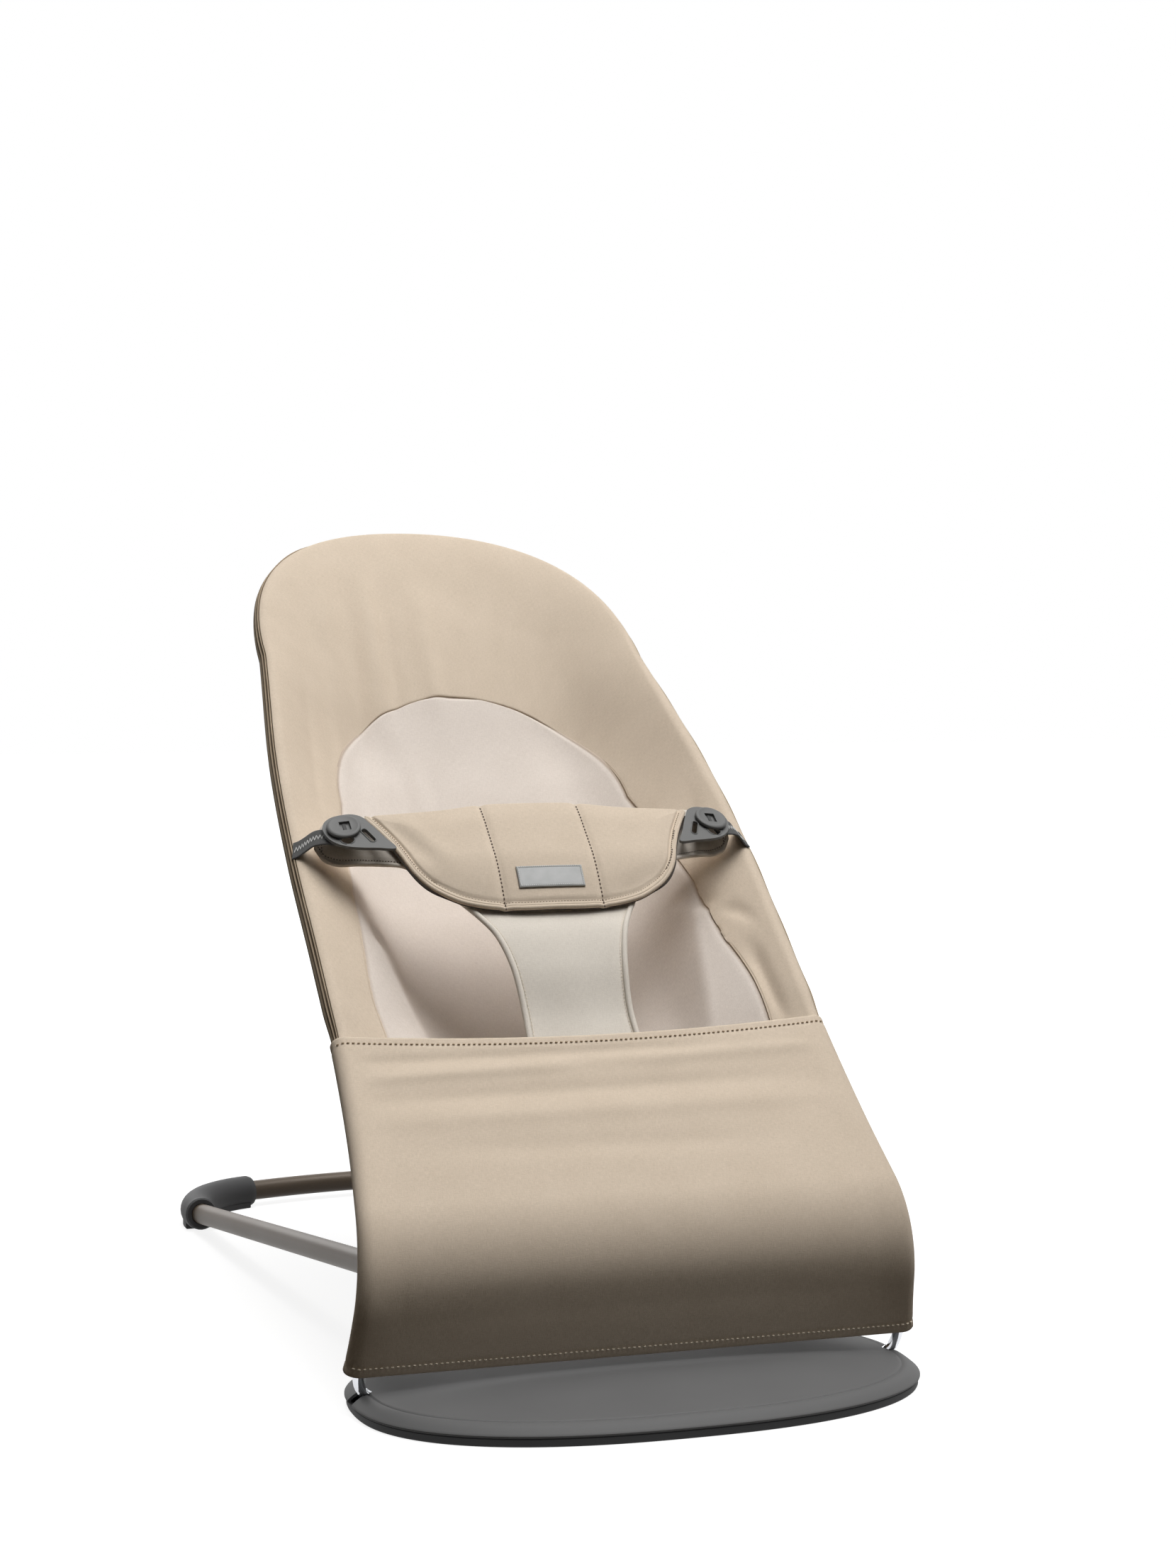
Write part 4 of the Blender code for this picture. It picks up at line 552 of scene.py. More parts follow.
# The flat sole under the corner, as rows of (half width, height).
heel = []
heel_rows = ((0.0, 0.0), (0.01, 0.0), (0.0108, 0.0008), (0.0108, 0.0045), (0.0095, 0.0062), (0.0, 0.0064))
for half, height in heel_rows:
    ring = np.concatenate([bend[:, :2] + out * half, (bend[:, :2] - out * half)[::-1]])
    heel.append(np.column_stack([ring, np.full(len(ring), height)]))
heel = np.array(heel)
sleeve_faces = grid_faces(*sleeve.shape[:2], around=True, over=True)
heel_faces = grid_faces(*heel.shape[:2], around=True, start=sleeve.shape[0] * sleeve.shape[1])
foot_points = np.concatenate([sleeve.reshape(-1, 3), heel.reshape(-1, 3)])
foot_faces = np.concatenate([sleeve_faces, heel_faces])
for sign, side in ((1, "right"), (-1, "left")):
    points = foot_points * (sign, 1, 1)
    foot = piece(f"rubber_foot_{side}", points, foot_faces, FOOT_RUBBER, "foot_rubber", angle=30)
    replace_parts(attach(foot, "rear_leg"), f"corner_foot_{side}")


# ---------------------------------------------------------------------------------------------
# Seat cover: a sling of soft beige cotton, cut as one horseshoe round the light panel. Its edge
# wraps the wire and is sewn at the outside to a facing that comes round the back and is hemmed to
# the cover behind the wire.
# ---------------------------------------------------------------------------------------------

SLING_SHARES = (0.0, 0.3, 0.55, 0.8, 1.0)
SLING_DEPTH = (
    (0.177, 0.014, 0.0125, 0.009, 0.004, 0.0), (0.235, 0.045, 0.04, 0.027, 0.0045, 0.0),
    (0.306, 0.075, 0.068, 0.046, 0.002, 0.0), (0.353, 0.083, 0.075, 0.053, 0.0035, 0.0),
    (0.412, 0.085, 0.077, 0.056, 0.0085, 0.0), (0.471, 0.078, 0.071, 0.055, 0.0125, 0.0),
    (0.53, 0.069, 0.064, 0.052, 0.0168, 0.0), (0.589, 0.059, 0.056, 0.048, 0.0215, 0.0),
    (0.648, 0.05, 0.048, 0.0435, 0.024, 0.0), (0.706, 0.043, 0.0425, 0.0405, 0.021, 0.0),
    (0.765, 0.0315, 0.0312, 0.0275, 0.013, 0.0), (0.848, 0.018, 0.017, 0.013, 0.0065, 0.0),
    (0.942, 0.006, 0.0055, 0.004, 0.002, 0.0), (1.0, 0.0, 0.0, 0.0, 0.0, 0.0),
)
PANEL_TOP = SHOULDER_AT - 0.0082
ARCH_HEIGHT = 0.1262
ARCH_BASE = PANEL_TOP - ARCH_HEIGHT
PANEL_HALF = (
    (0.255, 0.1322), (0.27, 0.1333), (0.29, 0.1346), (0.31, 0.1351), (0.33, 0.1337), (0.35, 0.1312),
    (0.4, 0.1281), (0.43, 0.1255), (0.46, 0.122), (0.5, 0.116), (0.53, 0.1105),
)
# Folds of the sling: from (x, s) to (x, s), half width and height; a hollow where the height is negative.
FOLDS = (
    (-0.1215, 0.412, -0.113, 0.372, 0.007, -0.006),
    (-0.107, 0.4, -0.101, 0.36, 0.007, 0.003),
    (0.119, 0.412, 0.127, 0.388, 0.008, -0.0045),
    (0.146, 0.335, 0.15, 0.272, 0.0055, -0.0034),
    (0.14, 0.38, 0.16, 0.356, 0.006, -0.0022),
    (-0.136, 0.48, -0.117, 0.664, 0.0045, -0.0012),
    (-0.1, 0.56, -0.088, 0.76, 0.006, 0.0022),
    (-0.078, 0.6, -0.066, 0.78, 0.006, -0.0024),
    (-0.06, 0.64, -0.046, 0.78, 0.008, 0.0032),
    (-0.044, 0.65, -0.034, 0.79, 0.006, -0.0024),
    (-0.012, 0.64, -0.008, 0.78, 0.009, 0.0024),
    (-0.045, 0.48, -0.04, 0.58, 0.005, 0.0013),
    (-0.032, 0.48, -0.03, 0.57, 0.005, -0.0012),
    (-0.085, 0.47, -0.07, 0.6, 0.007, 0.0016),
    (-0.06, 0.48, -0.052, 0.59, 0.006, -0.0015),
    (0.128, 0.43, 0.15, 0.5, 0.01, -0.0012),
)
# Where the taut wings break over into the seat, at (s, |x|), and how far that brim stands up.
BRIM = ((0.18, 0.066), (0.235, 0.08), (0.3, 0.101), (0.35, 0.113), (0.405, 0.123), (0.46, 0.126))
BRIM_LEFT, BRIM_RIGHT, BRIM_WIDTH, BRIM_ROUND, BRIM_TOP, BRIM_FADE = 0.0085, 0.006, 0.013, 0.005, 0.475, 0.07
LEAN, LEAN_FROM, LEAN_OVER, BRIM_LEAN = 0.0072, 0.24, 0.15, 1.6
SLEEVE_TUCKED, SLEEVE_GROWS, SLEEVE_AT, SLEEVE_REACH, SLEEVE_STEP = 0.0066, 0.0013, 0.26, 0.09, 0.006


def sag(x, s):
    """Depth of the sling below the side wires: curves along s, each at its share of the half width."""
    x, s = np.broadcast_arrays(np.asarray(x, float), np.asarray(s, float))
    share = np.clip(np.abs(x) / np.maximum(half_width(s), 0.02), 0, 1)
    table = np.array(SLING_DEPTH)
    depths = [through(s / HEAD_AT, table[:, 0], column) for column in table[:, 1:].T]
    return through(share, (-SLING_SHARES[1], *SLING_SHARES), np.stack([depths[1], *depths]))


def bell(distance, width):
    """A bump of height 1 at distance 0: exp(-(distance / width)^2)."""
    return np.exp(-((distance / width) ** 2))


def fold(x, s, x0, s0, x1, s1, width, height):
    """A soft ridge along a line: a bell across it, eased out towards its two ends."""
    way = np.array([x1 - x0, s1 - s0])
    length = float(np.hypot(*way))
    way = way / length
    along = ((x - x0) * way[0] + (s - s0) * way[1]) / length
    across = (x - x0) * way[1] - (s - s0) * way[0]
    return height * bell(across, width) * ease((along + 0.25) / 0.5) * ease((1.25 - along) / 0.5)


def lean(s):
    """How far the loose seat is pulled towards the right, growing down to the pocket."""
    return LEAN * (1 - ease((np.asarray(s, float) - LEAN_FROM) / LEAN_OVER))


def sling_depth(x, s, from_wire, slope=None):
    """Depth of the cloth's front: it leaves the sleeve's circle at the sag's slope and falls to the sag.

    Below the arms it runs taut to a brim instead, and beyond that into the seat. The folds lie over all.
    """
    if slope is None:
        slope = sag(half_width(s) - SLEEVE_STEP, s) / SLEEVE_STEP
    size = sleeve_radius(s)
    depth = sag(x, s) - size * np.sqrt(1 + slope**2) * (1 - ease(from_wire / SLEEVE_REACH))
    crest = -np.sqrt(np.maximum(size**2 - from_wire**2, 0))
    depth = np.where(from_wire < size * slope / np.sqrt(1 + slope**2), crest, depth)
    x, s = np.broadcast_arrays(np.asarray(x, float), np.asarray(s, float))
    brim, rise = knots(s, BRIM) + BRIM_LEAN * np.sign(x) * lean(s), np.where(x < 0, BRIM_LEFT, BRIM_RIGHT)
    reach, gap = half_width(s) - brim, half_width(s) - np.abs(x)
    top = sag(brim, s) - rise
    taut = (top + size * np.sqrt(1 + ((top + size) / reach) ** 2)) / reach
    line = taut * gap - size * np.sqrt(1 + taut**2)
    line = np.where(gap < size * taut / np.sqrt(1 + taut**2), -np.sqrt(np.maximum(size**2 - gap**2, 0)), line)
    beyond = sag(x, s) - rise * bell(np.maximum(gap - reach, 0), BRIM_WIDTH)
    seat = line + (beyond - line) * ease((gap - reach + BRIM_ROUND) / (2 * BRIM_ROUND))
    depth = depth + (seat - depth) * ease((BRIM_TOP - s) / BRIM_FADE)
    still = ease((from_wire - 0.007) / 0.011)
    for line in FOLDS:
        depth = depth - still * fold(x, s, *line)
    return depth


def sleeve_radius(s):
    """The sleeve's radius: it narrows where it slips under the lower panel."""
    return SLEEVE_TUCKED + SLEEVE_GROWS * ease((np.asarray(s, float) - SLEEVE_AT) / 0.03)


def panel_half(s):
    """Half width of the light panel: a lap that widens downwards, under half an ellipse."""
    s = np.asarray(s, float)
    t = np.clip((s - ARCH_BASE) / ARCH_HEIGHT, 0, 1)
    return knots(np.minimum(s, ARCH_BASE), PANEL_HALF) * np.sqrt(1 - t * t)


def cloth(name, colour, shade, seam_shade_colour, thread=0.00048):
    """Plain woven cotton, read from the flat cloth's UV: crossed threads, slubs along both, and a soft cloud.

    Where the mesh has a seam attribute, the cloth takes the seam's colour there: the dark seam line, with
    painted shade in the seam's groove and in the facing's pleats.
    """
    finish = Finish(name, colour, 0.92, Sheen_Weight=0.06, Sheen_Roughness=0.5, Specular_IOR_Level=0.08)
    flat = finish.place("UV")
    parts = [finish.add("ShaderNodeSeparateXYZ", inputs={"Vector": flat}, output=axis) for axis in "XY"]
    weft, warp = ((part * (2 * math.pi / thread)).maths("SINE") for part in parts)
    weave = weft * warp
    stretches = ((260, 1900, 1), (1900, 260, 1))
    slub_x, slub_y = (finish.noise(1.0, finish.place("UV", scale), 2.0) for scale in stretches)
    slubs = slub_x + slub_y
    cloud = finish.noise(30.0, flat, 3.0)
    share = 1.1 * (slubs - 0.5) + 0.5 * (cloud - 0.5) + 0.08 * weave
    seam = finish.add("ShaderNodeAttribute", {"attribute_name": "seam"}, output="Fac")
    finish.set(Base_Color=finish.mix(finish.mix(shade, colour, share), seam_shade_colour, seam))
    return finish.relief(0.5 * weave + 0.8 * slubs, 0.00014, 0.6)


BEIGE = cloth("beige cotton", paint(222, 206, 187), paint(200, 184, 164), paint(150, 126, 98), thread=0.00052)
# The facing's beige is darker than the cover's: partly a darker cloth, partly painted shade of the sleeve's
# back, which is turned from the lamps. Its seam colour paints the pleats' shade.
FACING = cloth("beige facing", paint(206, 187, 162), paint(178, 159, 134), paint(84, 70, 56), thread=0.00052)
FAN_AT, COVER_LOW_S, COTTON_THICK, FACING_THICK = 0.5, 0.222, 0.0009, 0.001
# Degrees round the wire from its front to the outer seam; it turns less low down, more on the right.
SEAM_TURN, SEAM_TURN_HEAD, SEAM_TURN_RIGHT = 38.0, 13.0, 40.0

level = np.linspace(COVER_LOW_S, FAN_AT, 110)
turns = np.linspace(0, 90, 90)[1:]
arch = np.sin(np.radians(np.linspace(0, 90, 400)))
arch_s = np.concatenate([np.linspace(FAN_AT, ARCH_BASE, 30)[:-1], ARCH_BASE + ARCH_HEIGHT * arch])
head_s = np.concatenate([np.linspace(FAN_AT, SHOULDER_AT, 60)[:-1], head_rows(np.linspace(0, 90, 500))])


def stations(width, curve_s):
    """(x, s) along a line of half width(s): up the right side, over the crown and down the left.

    Below FAN_AT they lie at the same levels on every line, and above it on rays from the middle there.
    """
    curve_x = width(curve_s)
    angle = np.degrees(np.arctan2(curve_s - FAN_AT, np.maximum(curve_x, 1e-9)))
    x = np.concatenate([width(level), np.interp(turns, angle, curve_x)])
    s = np.concatenate([level, np.interp(turns, angle, curve_s)])
    return np.concatenate([x, -x[::-1][1:]]), np.concatenate([s, s[::-1][1:]])


def run_across(grid):
    """Distance of each point from the first of its row, along the row."""
    steps = np.linalg.norm(np.diff(grid, axis=1), axis=-1).cumsum(1)
    return np.concatenate([np.zeros((len(grid), 1)), steps], axis=1)


def run_along(path):
    """Distance of each point of a path from its start, along the path."""
    return run_across(np.asarray(path)[None])[0]


seam_x, seam_s = stations(panel_half, arch_s)
seam_x = seam_x + lean(seam_s)
hoop_x, hoop_s = stations(half_width, head_s)
hoop_points = place(hoop_x, hoop_s, 0.0)
_, hoop_up, hoop_out = frames(hoop_points, sitter_side(hoop_s))
if hoop_out[0, 0] < 0:
    hoop_out = -hoop_out
reach = np.hypot(hoop_x - seam_x, hoop_s - seam_s)[:, None]
girth = run_along(hoop_points)[:, None]


def wing(from_wire, lift=0.0):
    """Points of the cover at distances from the wire, along the lines that join it to the panel's seam."""

    def between(share):
        lines = ((hoop_x, seam_x), (hoop_s, seam_s))
        return tuple(wire[:, None] + (seam - wire)[:, None] * share for wire, seam in lines)

    x, s = between(np.clip(from_wire / reach, 0, 1))
    slope = sag(*between(SLEEVE_STEP / reach)) / SLEEVE_STEP
    return place(x, s, sling_depth(x, s, from_wire, slope) + lift)


def wrapped(turn, radius):
    """Points round the wire at degrees from its front: radius (cos a up + sin a outwards)."""
    turn = np.radians(np.atleast_2d(turn))[..., None]
    ring = np.cos(turn) * hoop_up[:, None] + np.sin(turn) * hoop_out[:, None]
    return hoop_points[:, None] + ring * np.broadcast_to(radius, (len(hoop_x), turn.shape[1]))[..., None]


def hoop_uv(grid):
    """Places on the flat cloth: the distance across from the first column, and the run along the wire."""
    return np.stack(np.broadcast_arrays(run_across(grid), girth), axis=-1)


inward = reach * (1 - ease(np.linspace(0, 1, 34)) * 0.6 - np.linspace(0, 1, 34) * 0.4)
inward[:, 0] = reach[:, 0] - 0.001
roll = wing(reach - 0.0002, COTTON_THICK)
seam_turn = SEAM_TURN - SEAM_TURN_HEAD * (1 - ease((hoop_s - 0.6) / 0.2))
seam_turn = (seam_turn + SEAM_TURN_RIGHT * ease((hoop_x + 0.11) / 0.08))[:, None]
radius = sleeve_radius(hoop_s)[:, None]
front = wrapped(seam_turn * np.linspace(0.12, 1.0, 8), radius)
edge = wrapped(seam_turn + np.array([1.5, 2.5]), radius + np.array([-0.0006, -0.0022]))
cover_grid = np.concatenate([roll, wing(inward), front, edge], axis=1)
cover_uv = hoop_uv(cover_grid)
across = cover_uv[..., 0]
# Painted shade along the seams: a dark line with the shade of its groove, at the panel's seam and at the
# outer seam round the wire.
shade = 0.45 * bell(across, 0.0006) + 0.8 * bell(across - across[:, -1:] + 0.001, 0.0012)
outwards = {"facing": (0.0, -0.6, 0.8), "angle": 70}
seat_cover = surface("sling_cover", cover_grid, BEIGE, "beige_cotton", cover_uv, seam=shade, **outwards)


def walled(obj, thickness):
    """Gives a sheet its thickness, behind the face that was drawn."""
    wall = obj.modifiers.new("cloth", "SOLIDIFY")
    wall.thickness, wall.offset, wall.use_even_offset = thickness, -1, False
    return obj


walled(seat_cover, COTTON_THICK)
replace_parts(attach(seat_cover, "seat_frame"), "seat_cover")

# The facing from the seam round the back: degrees past the seam, how far its pleats stand out there in
# 0.1 mm, and how dark they are: the seam line at the first, then painted shade, darkest in the pleats'
# valleys. Behind the wire its hem settles under the wing.
step = np.array([3, 4, 7, 11, 15, 20, 25, 30, 36, 42, 48, 56, 66, 78, 92, 106, 120, 135, 150])
bulge = np.array([-22, -2, 7, 6, -2, -4, 4, 4, -3, -3, 3, 2, 0, 0, 0, 0, 0, 0, 0]) * 0.0001
bulge = bulge * (1 + 0.4 * np.sin(hoop_s * 95.0)[:, None] * (step < 60))
behind_turn = np.where(step < 60, seam_turn + step, seam_turn + 56 + (124 - seam_turn) * (step - 56) / 94)
back = wrapped(behind_turn, radius + bulge)
hem_in = np.linspace(0.002, 0.02, 10)
pleats = ([4, 7, 11, 15, 20, 25, 30, 36, 42, 48], [1.0, 0.1, 0.2, 0.95, 0.9, 0.3, 0.6, 0.95, 0.6, 0.4])
shade = np.concatenate([np.interp(step, *pleats), np.zeros(len(hem_in))])
settle = ease(hem_in / 0.014)[None, :, None]
behind = hoop_points[:, None] - hoop_up[:, None] * radius[..., None]
behind = behind - hoop_out[:, None] * hem_in[None, :, None]
back_grid = np.concatenate([back, behind * (1 - settle) + wing(hem_in, 0.0022) * settle], axis=1)
shade = np.broadcast_to(shade, back_grid.shape[:2])
inwards = {"facing": (0.0, 0.6, -0.8), "angle": 70}
back_uv = hoop_uv(back_grid)
facing_strip = surface("cover_facing", back_grid, FACING, "beige_cotton", back_uv, seam=shade, **inwards)
walled(facing_strip, FACING_THICK)
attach(facing_strip, "seat_frame")


# ---------------------------------------------------------------------------------------------
# Centre panel: the light cotton sewn into the cover. It lines the seat and the back up to a round
# arch, and its edges are turned under at the seams.
# ---------------------------------------------------------------------------------------------

LIGHT = cloth("light cotton", paint(230, 220, 211), paint(210, 199, 189), paint(150, 122, 92))
PANEL_LOW_S, PANEL_LAP, PANEL_DROP = 0.18, 0.0015, 0.0012
arch_rows = ARCH_BASE + (ARCH_HEIGHT + PANEL_LAP) * np.sin(np.radians(np.linspace(0, 90, 60)))
rows = np.concatenate([np.linspace(PANEL_LOW_S, ARCH_BASE, 130)[:-1], arch_rows])
t = np.clip((rows - ARCH_BASE) / (ARCH_HEIGHT + PANEL_LAP), 0, 1)
half = (knots(np.minimum(rows, ARCH_BASE), PANEL_HALF) + PANEL_LAP) * np.sqrt(np.maximum(1 - t * t, 0))
share = np.sin(0.5 * np.pi * np.linspace(-1, 1, 91)) * 0.35 + np.linspace(-1, 1, 91) * 0.65
x = half[:, None] * share
s = np.broadcast_to(rows[:, None], x.shape)
edge_gap = np.minimum(half[:, None] - np.abs(x), np.maximum(PANEL_TOP + PANEL_LAP - s, 0)) - PANEL_LAP
x = x + lean(s)
depth = sling_depth(x, s, half_width(s) - np.abs(x)) + PANEL_DROP * (1 - ease(edge_gap / 0.004))
# Painted shade at the panel's edge: a dark seam line with the shade of the groove under the cover's edge.
panel_uv, shade = np.stack([x, s], axis=-1), 0.5 * (1 - ease(edge_gap / 0.001))
panel_grid = place(x, s, depth)
centre_panel = surface("light_panel", panel_grid, LIGHT, "light_cotton", panel_uv, seam=shade, **outwards)
walled(centre_panel, FACING_THICK)
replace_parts(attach(centre_panel, "seat_frame"), "centre_panel")


# ---------------------------------------------------------------------------------------------
# Lower panel: the beige cloth that is stretched from the seat's pocket over the knees and down the
# shins. It wraps both wires, and its top edge and its hem are turned in and stitched.
# ---------------------------------------------------------------------------------------------

LOWER_RADIUS, LOWER_HEM, LOWER_TOP, LOWER_DIP = 0.0081, 0.017, 0.26, 0.0085
LOWER_WRAP, HEM_STITCH, POCKET_STITCH, HEM_FLARE = np.radians(172.0), 0.0066, 0.0062, 0.0024


def lower_points(column, v, inset):
    """The panel's face: flat between the wires, and round them at radius less inset.

    column runs from -2 to 2: beyond 1 it turns round the wire, from its front at 1 to LOWER_WRAP at 2, and
    flares towards the hem. v runs from 0 at the hem to 1 at the top edge.
    """
    column, v, inset = np.broadcast_arrays(column, v, inset)
    side, size = np.sign(column), np.abs(column)
    turn = LOWER_WRAP * np.clip(size - 1, 0, 1)
    span = np.minimum(size, 1.0)
    foot = LOWER_HEM + 0.005 * np.clip(size - 1, 0, 1) ** 2
    top = LOWER_TOP - LOWER_DIP * (1 - span**2)
    s = foot + v * (top - foot)
    round_wire = LOWER_RADIUS - inset + HEM_FLARE * np.exp(-(s - LOWER_HEM) / 0.014) * np.sin(turn)
    x = side * (span * half_width(s) + round_wire * np.sin(turn))
    depth = -(LOWER_RADIUS - inset) * np.cos(turn) + slack(x, s) * ease((1 - span) / 0.12) * (size < 1)
    return place(x, s, depth), np.stack([x + side * round_wire * turn, s], axis=-1)


SLACK = (
    (-0.165, 0.236, 0.06, 0.238, 0.0045, -0.0012),
    (-0.16, 0.222, -0.02, 0.226, 0.005, 0.0013),
    (-0.15, 0.204, 0.11, 0.208, 0.0065, -0.0011),
    (0.02, 0.228, 0.16, 0.234, 0.0055, 0.0011),
    (-0.14, 0.186, 0.14, 0.19, 0.008, 0.0011),
    (-0.15, 0.06, 0.15, 0.058, 0.012, -0.0009),
    (-0.12, 0.162, 0.09, 0.158, 0.009, -0.0009),
)


def slack(x, s):
    """Shallow level folds of the stretched cloth, and a slight hollow between its edges."""
    depth = 0.0012 * ease((0.25 - s) / 0.05) * ease((s - 0.02) / 0.05)
    for line in SLACK:
        depth = depth - fold(x, s, *line)
    return depth


sweep = np.concatenate([-np.linspace(2, 1, 18)[:-1], np.linspace(-1, 1, 161), np.linspace(1, 2, 18)[1:]])
span_s = LOWER_TOP - LOWER_HEM
# An edge that is turned in: how far each row lies from the edge, and how deep behind the face.
TURNED = (
    (0.0125, 0.0021), (0.008, 0.0021), (0.003, 0.0021), (0.0008, 0.0019), (0.0, 0.0011), (0.0003, 0.0004),
    (0.001, 0.0),
)
top_rows = [(1 - gap / span_s, inset) for gap, inset in TURNED]
body_rows = [(v, 0.0) for v in 1 - np.linspace(0.0022, span_s - 0.0022, 120) / span_s]
hem_rows = [(gap / span_s, inset) for gap, inset in (*TURNED[:1:-1], (0.0075, 0.0021))]
v, inset = np.array(top_rows + body_rows + hem_rows).T
hem_gap, top_gap = HEM_STITCH / span_s, 1 - POCKET_STITCH / span_s
pull = 0.0004 * bell((v - hem_gap) * span_s, 0.0012) + 0.0003 * bell((v - 1) * span_s + POCKET_STITCH, 0.0012)
inset = inset + np.where(inset == 0.0, pull, 0.0)
lower_grid, lower_uv = lower_points(sweep[None, :], v[:, None], inset[:, None])
lower_panel = surface(
    "knee_panel", lower_grid, BEIGE, "beige_cotton", lower_uv, angle=75, facing=(0.0, -1.0, 0.2)
)
walled(lower_panel, COTTON_THICK)
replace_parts(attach(lower_panel, "seat_frame"), "lower_panel")


def at_run(where, run, path):
    """Points of a path at given distances along it, where run is each given point's distance."""
    return np.stack([np.interp(where, run, column) for column in np.asarray(path, float).T], axis=-1)


def stitches(name, path, up, finish, slot, length, gap, radius):
    """A row of thread stitches of a length and a thread radius, with a gap between them.

    Each is a small capsule along the path, its middle raised by 0.4 of the radius.
    """
    run = run_along(path)
    middles = np.arange(length / 2, run[-1], length + gap)
    along = unit(at_run(middles + length / 3, run, path) - at_run(middles - length / 3, run, path))
    up = at_run(middles, run, up)
    up = unit(up - (up * along).sum(-1, keepdims=True) * along)
    side = np.cross(along, up)
    stations = length * np.array([-0.5, -0.42, -0.2, 0.2, 0.42, 0.5])
    girths = radius * np.array([0.0, 0.7, 1.0, 1.0, 0.7, 0.0])
    turn = 2 * np.pi * np.arange(6) / 6
    shape = at_run(middles, run, path)[:, None, None] + stations[None, :, None, None] * along[:, None, None]
    ring = np.cos(turn)[:, None] * up[:, None, None] + np.sin(turn)[:, None] * side[:, None, None]
    shape = shape + girths[None, :, None, None] * ring + 0.4 * radius * up[:, None, None]
    faces = grid_faces(6, 6, around=True) + 36 * np.arange(len(middles))[:, None, None]
    row = piece(name, shape.reshape(-1, 3), faces.reshape(-1, 4), finish, slot, angle=60)
    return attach(row, "seat_frame")


def thread(colour, shade, roughness=0.6):
    return Finish(f"{colour} sewing thread", shade, roughness, Sheen_Weight=0.2)


THREAD = thread("beige", paint(216, 204, 184))
EDGE_THREAD = thread("tan", paint(158, 138, 110))
DARK_THREAD = thread("dark brown", paint(84, 68, 54))
for name, v, colour in (("hem", hem_gap, THREAD), ("pocket_edge", top_gap, EDGE_THREAD)):
    line, _ = lower_points(np.linspace(-1.25, 1.25, 400), v, -0.0001)
    _, up, _ = frames(line, sitter_side(np.full(400, LOWER_HEM + v * span_s)))
    stitches(f"{name}_stitches", line, up, colour, "beige_cotton", 0.002, 0.0015, 0.00052)


# ---------------------------------------------------------------------------------------------
# Waist flap: two layers of beige cotton over a soft pad, quilted by two upright seams in dark
# thread. Its top edge is folded over, and the rest is bound with piping that is stitched in the
# ditch. A bare satin label is sewn to its middle.
# ---------------------------------------------------------------------------------------------

FLAP_HALF, FLAP_LIFT, FLAP_ARCH, FLAP_LEAN, FLAP_TUCK = 0.1185, 0.0362, 0.4045, 0.033, 0.0077
FLAP_LOW, FLAP_ROLL, FLAP_CROWN, FLAP_RIM, PIPING = 0.3504, 0.002, 0.005, 0.0015, 0.0017
CHANNEL_X, DITCH_IN, DITCH_DEPTH = 0.0355, 0.0034, 0.0013
FLAP_TOP = ((0.0, 0.45), (0.035, 0.4495), (0.06, 0.4465), (0.1185, 0.4458))
FLAP_BOTTOM = (
    (0.0, 0.3564), (0.03, 0.3567), (0.045, 0.3584), (0.0565, 0.3613), (0.0655, 0.3646), (0.0735, 0.3692),
    (0.084, 0.377), (0.0905, 0.3846), (0.0955, 0.3938), (0.099, 0.4045), (0.1041, 0.4183), (0.111, 0.4325),
    (0.1185, 0.4457),
)
FLAP_FOLDS = (
    (-0.104, 0.436, -0.078, 0.392, 0.006, -0.0009),
    (-0.094, 0.436, -0.066, 0.396, 0.007, 0.0008),
    (-0.02, 0.36, 0.025, 0.361, 0.006, 0.0005),
    (0.05, 0.366, 0.088, 0.386, 0.006, -0.0007),
    (0.085, 0.4, 0.096, 0.436, 0.006, 0.0007),
    (0.01, 0.405, 0.012, 0.44, 0.01, -0.0004),
    (-0.07, 0.42, -0.045, 0.436, 0.009, 0.0004),
)


def smooth_path(points, count, closed=False):
    """Points on a cubic curve through the given ones, at even steps of chord length."""
    points = np.array(points, float)
    if closed:
        points = np.concatenate([points[-3:], points, points[:4]])
    chord = run_along(points)
    low, high = (chord[3], chord[-4]) if closed else (0.0, chord[-1])
    t = np.linspace(low, high, count + closed)[:count]
    return np.stack([through(t, chord, column) for column in points.T], axis=-1)


def flap_front(x, s):
    """Depth of the flap's face: a shallow arch, leaning back downwards and tucked in at the lower edge."""
    tuck = FLAP_TUCK * (1 - ease((s - FLAP_LOW) / 0.05))
    return -FLAP_LIFT + FLAP_ARCH * x**2 - FLAP_LEAN * (s - 0.4) + tuck


half_edge = np.array(FLAP_BOTTOM)
edge = smooth_path(np.concatenate([half_edge[:0:-1] * (-1, 1), half_edge]), 321)


def flap_face(x, s):
    """The flap's face with its pads: it rolls back at the edges and dips at the seams and the ditch."""
    x, s = np.broadcast_arrays(x, s)
    gap = np.hypot(x[..., None] - edge[:, 0], s[..., None] - edge[:, 1]).min(-1)
    rim = np.minimum(gap, np.maximum(knots(np.abs(x), FLAP_TOP) - s, 0) * 1.1)
    pad = np.sqrt(ease(rim / 0.022))
    depth = flap_front(x, s) + FLAP_ROLL * (1 - pad)
    depth = depth + DITCH_DEPTH * bell(np.abs(x) - CHANNEL_X, 0.003)
    depth = depth + DITCH_DEPTH * bell(gap - DITCH_IN, 0.001)
    for line in FLAP_FOLDS:
        depth = depth - fold(x, s, *line) * ease(rim / 0.008)
    return depth, pad


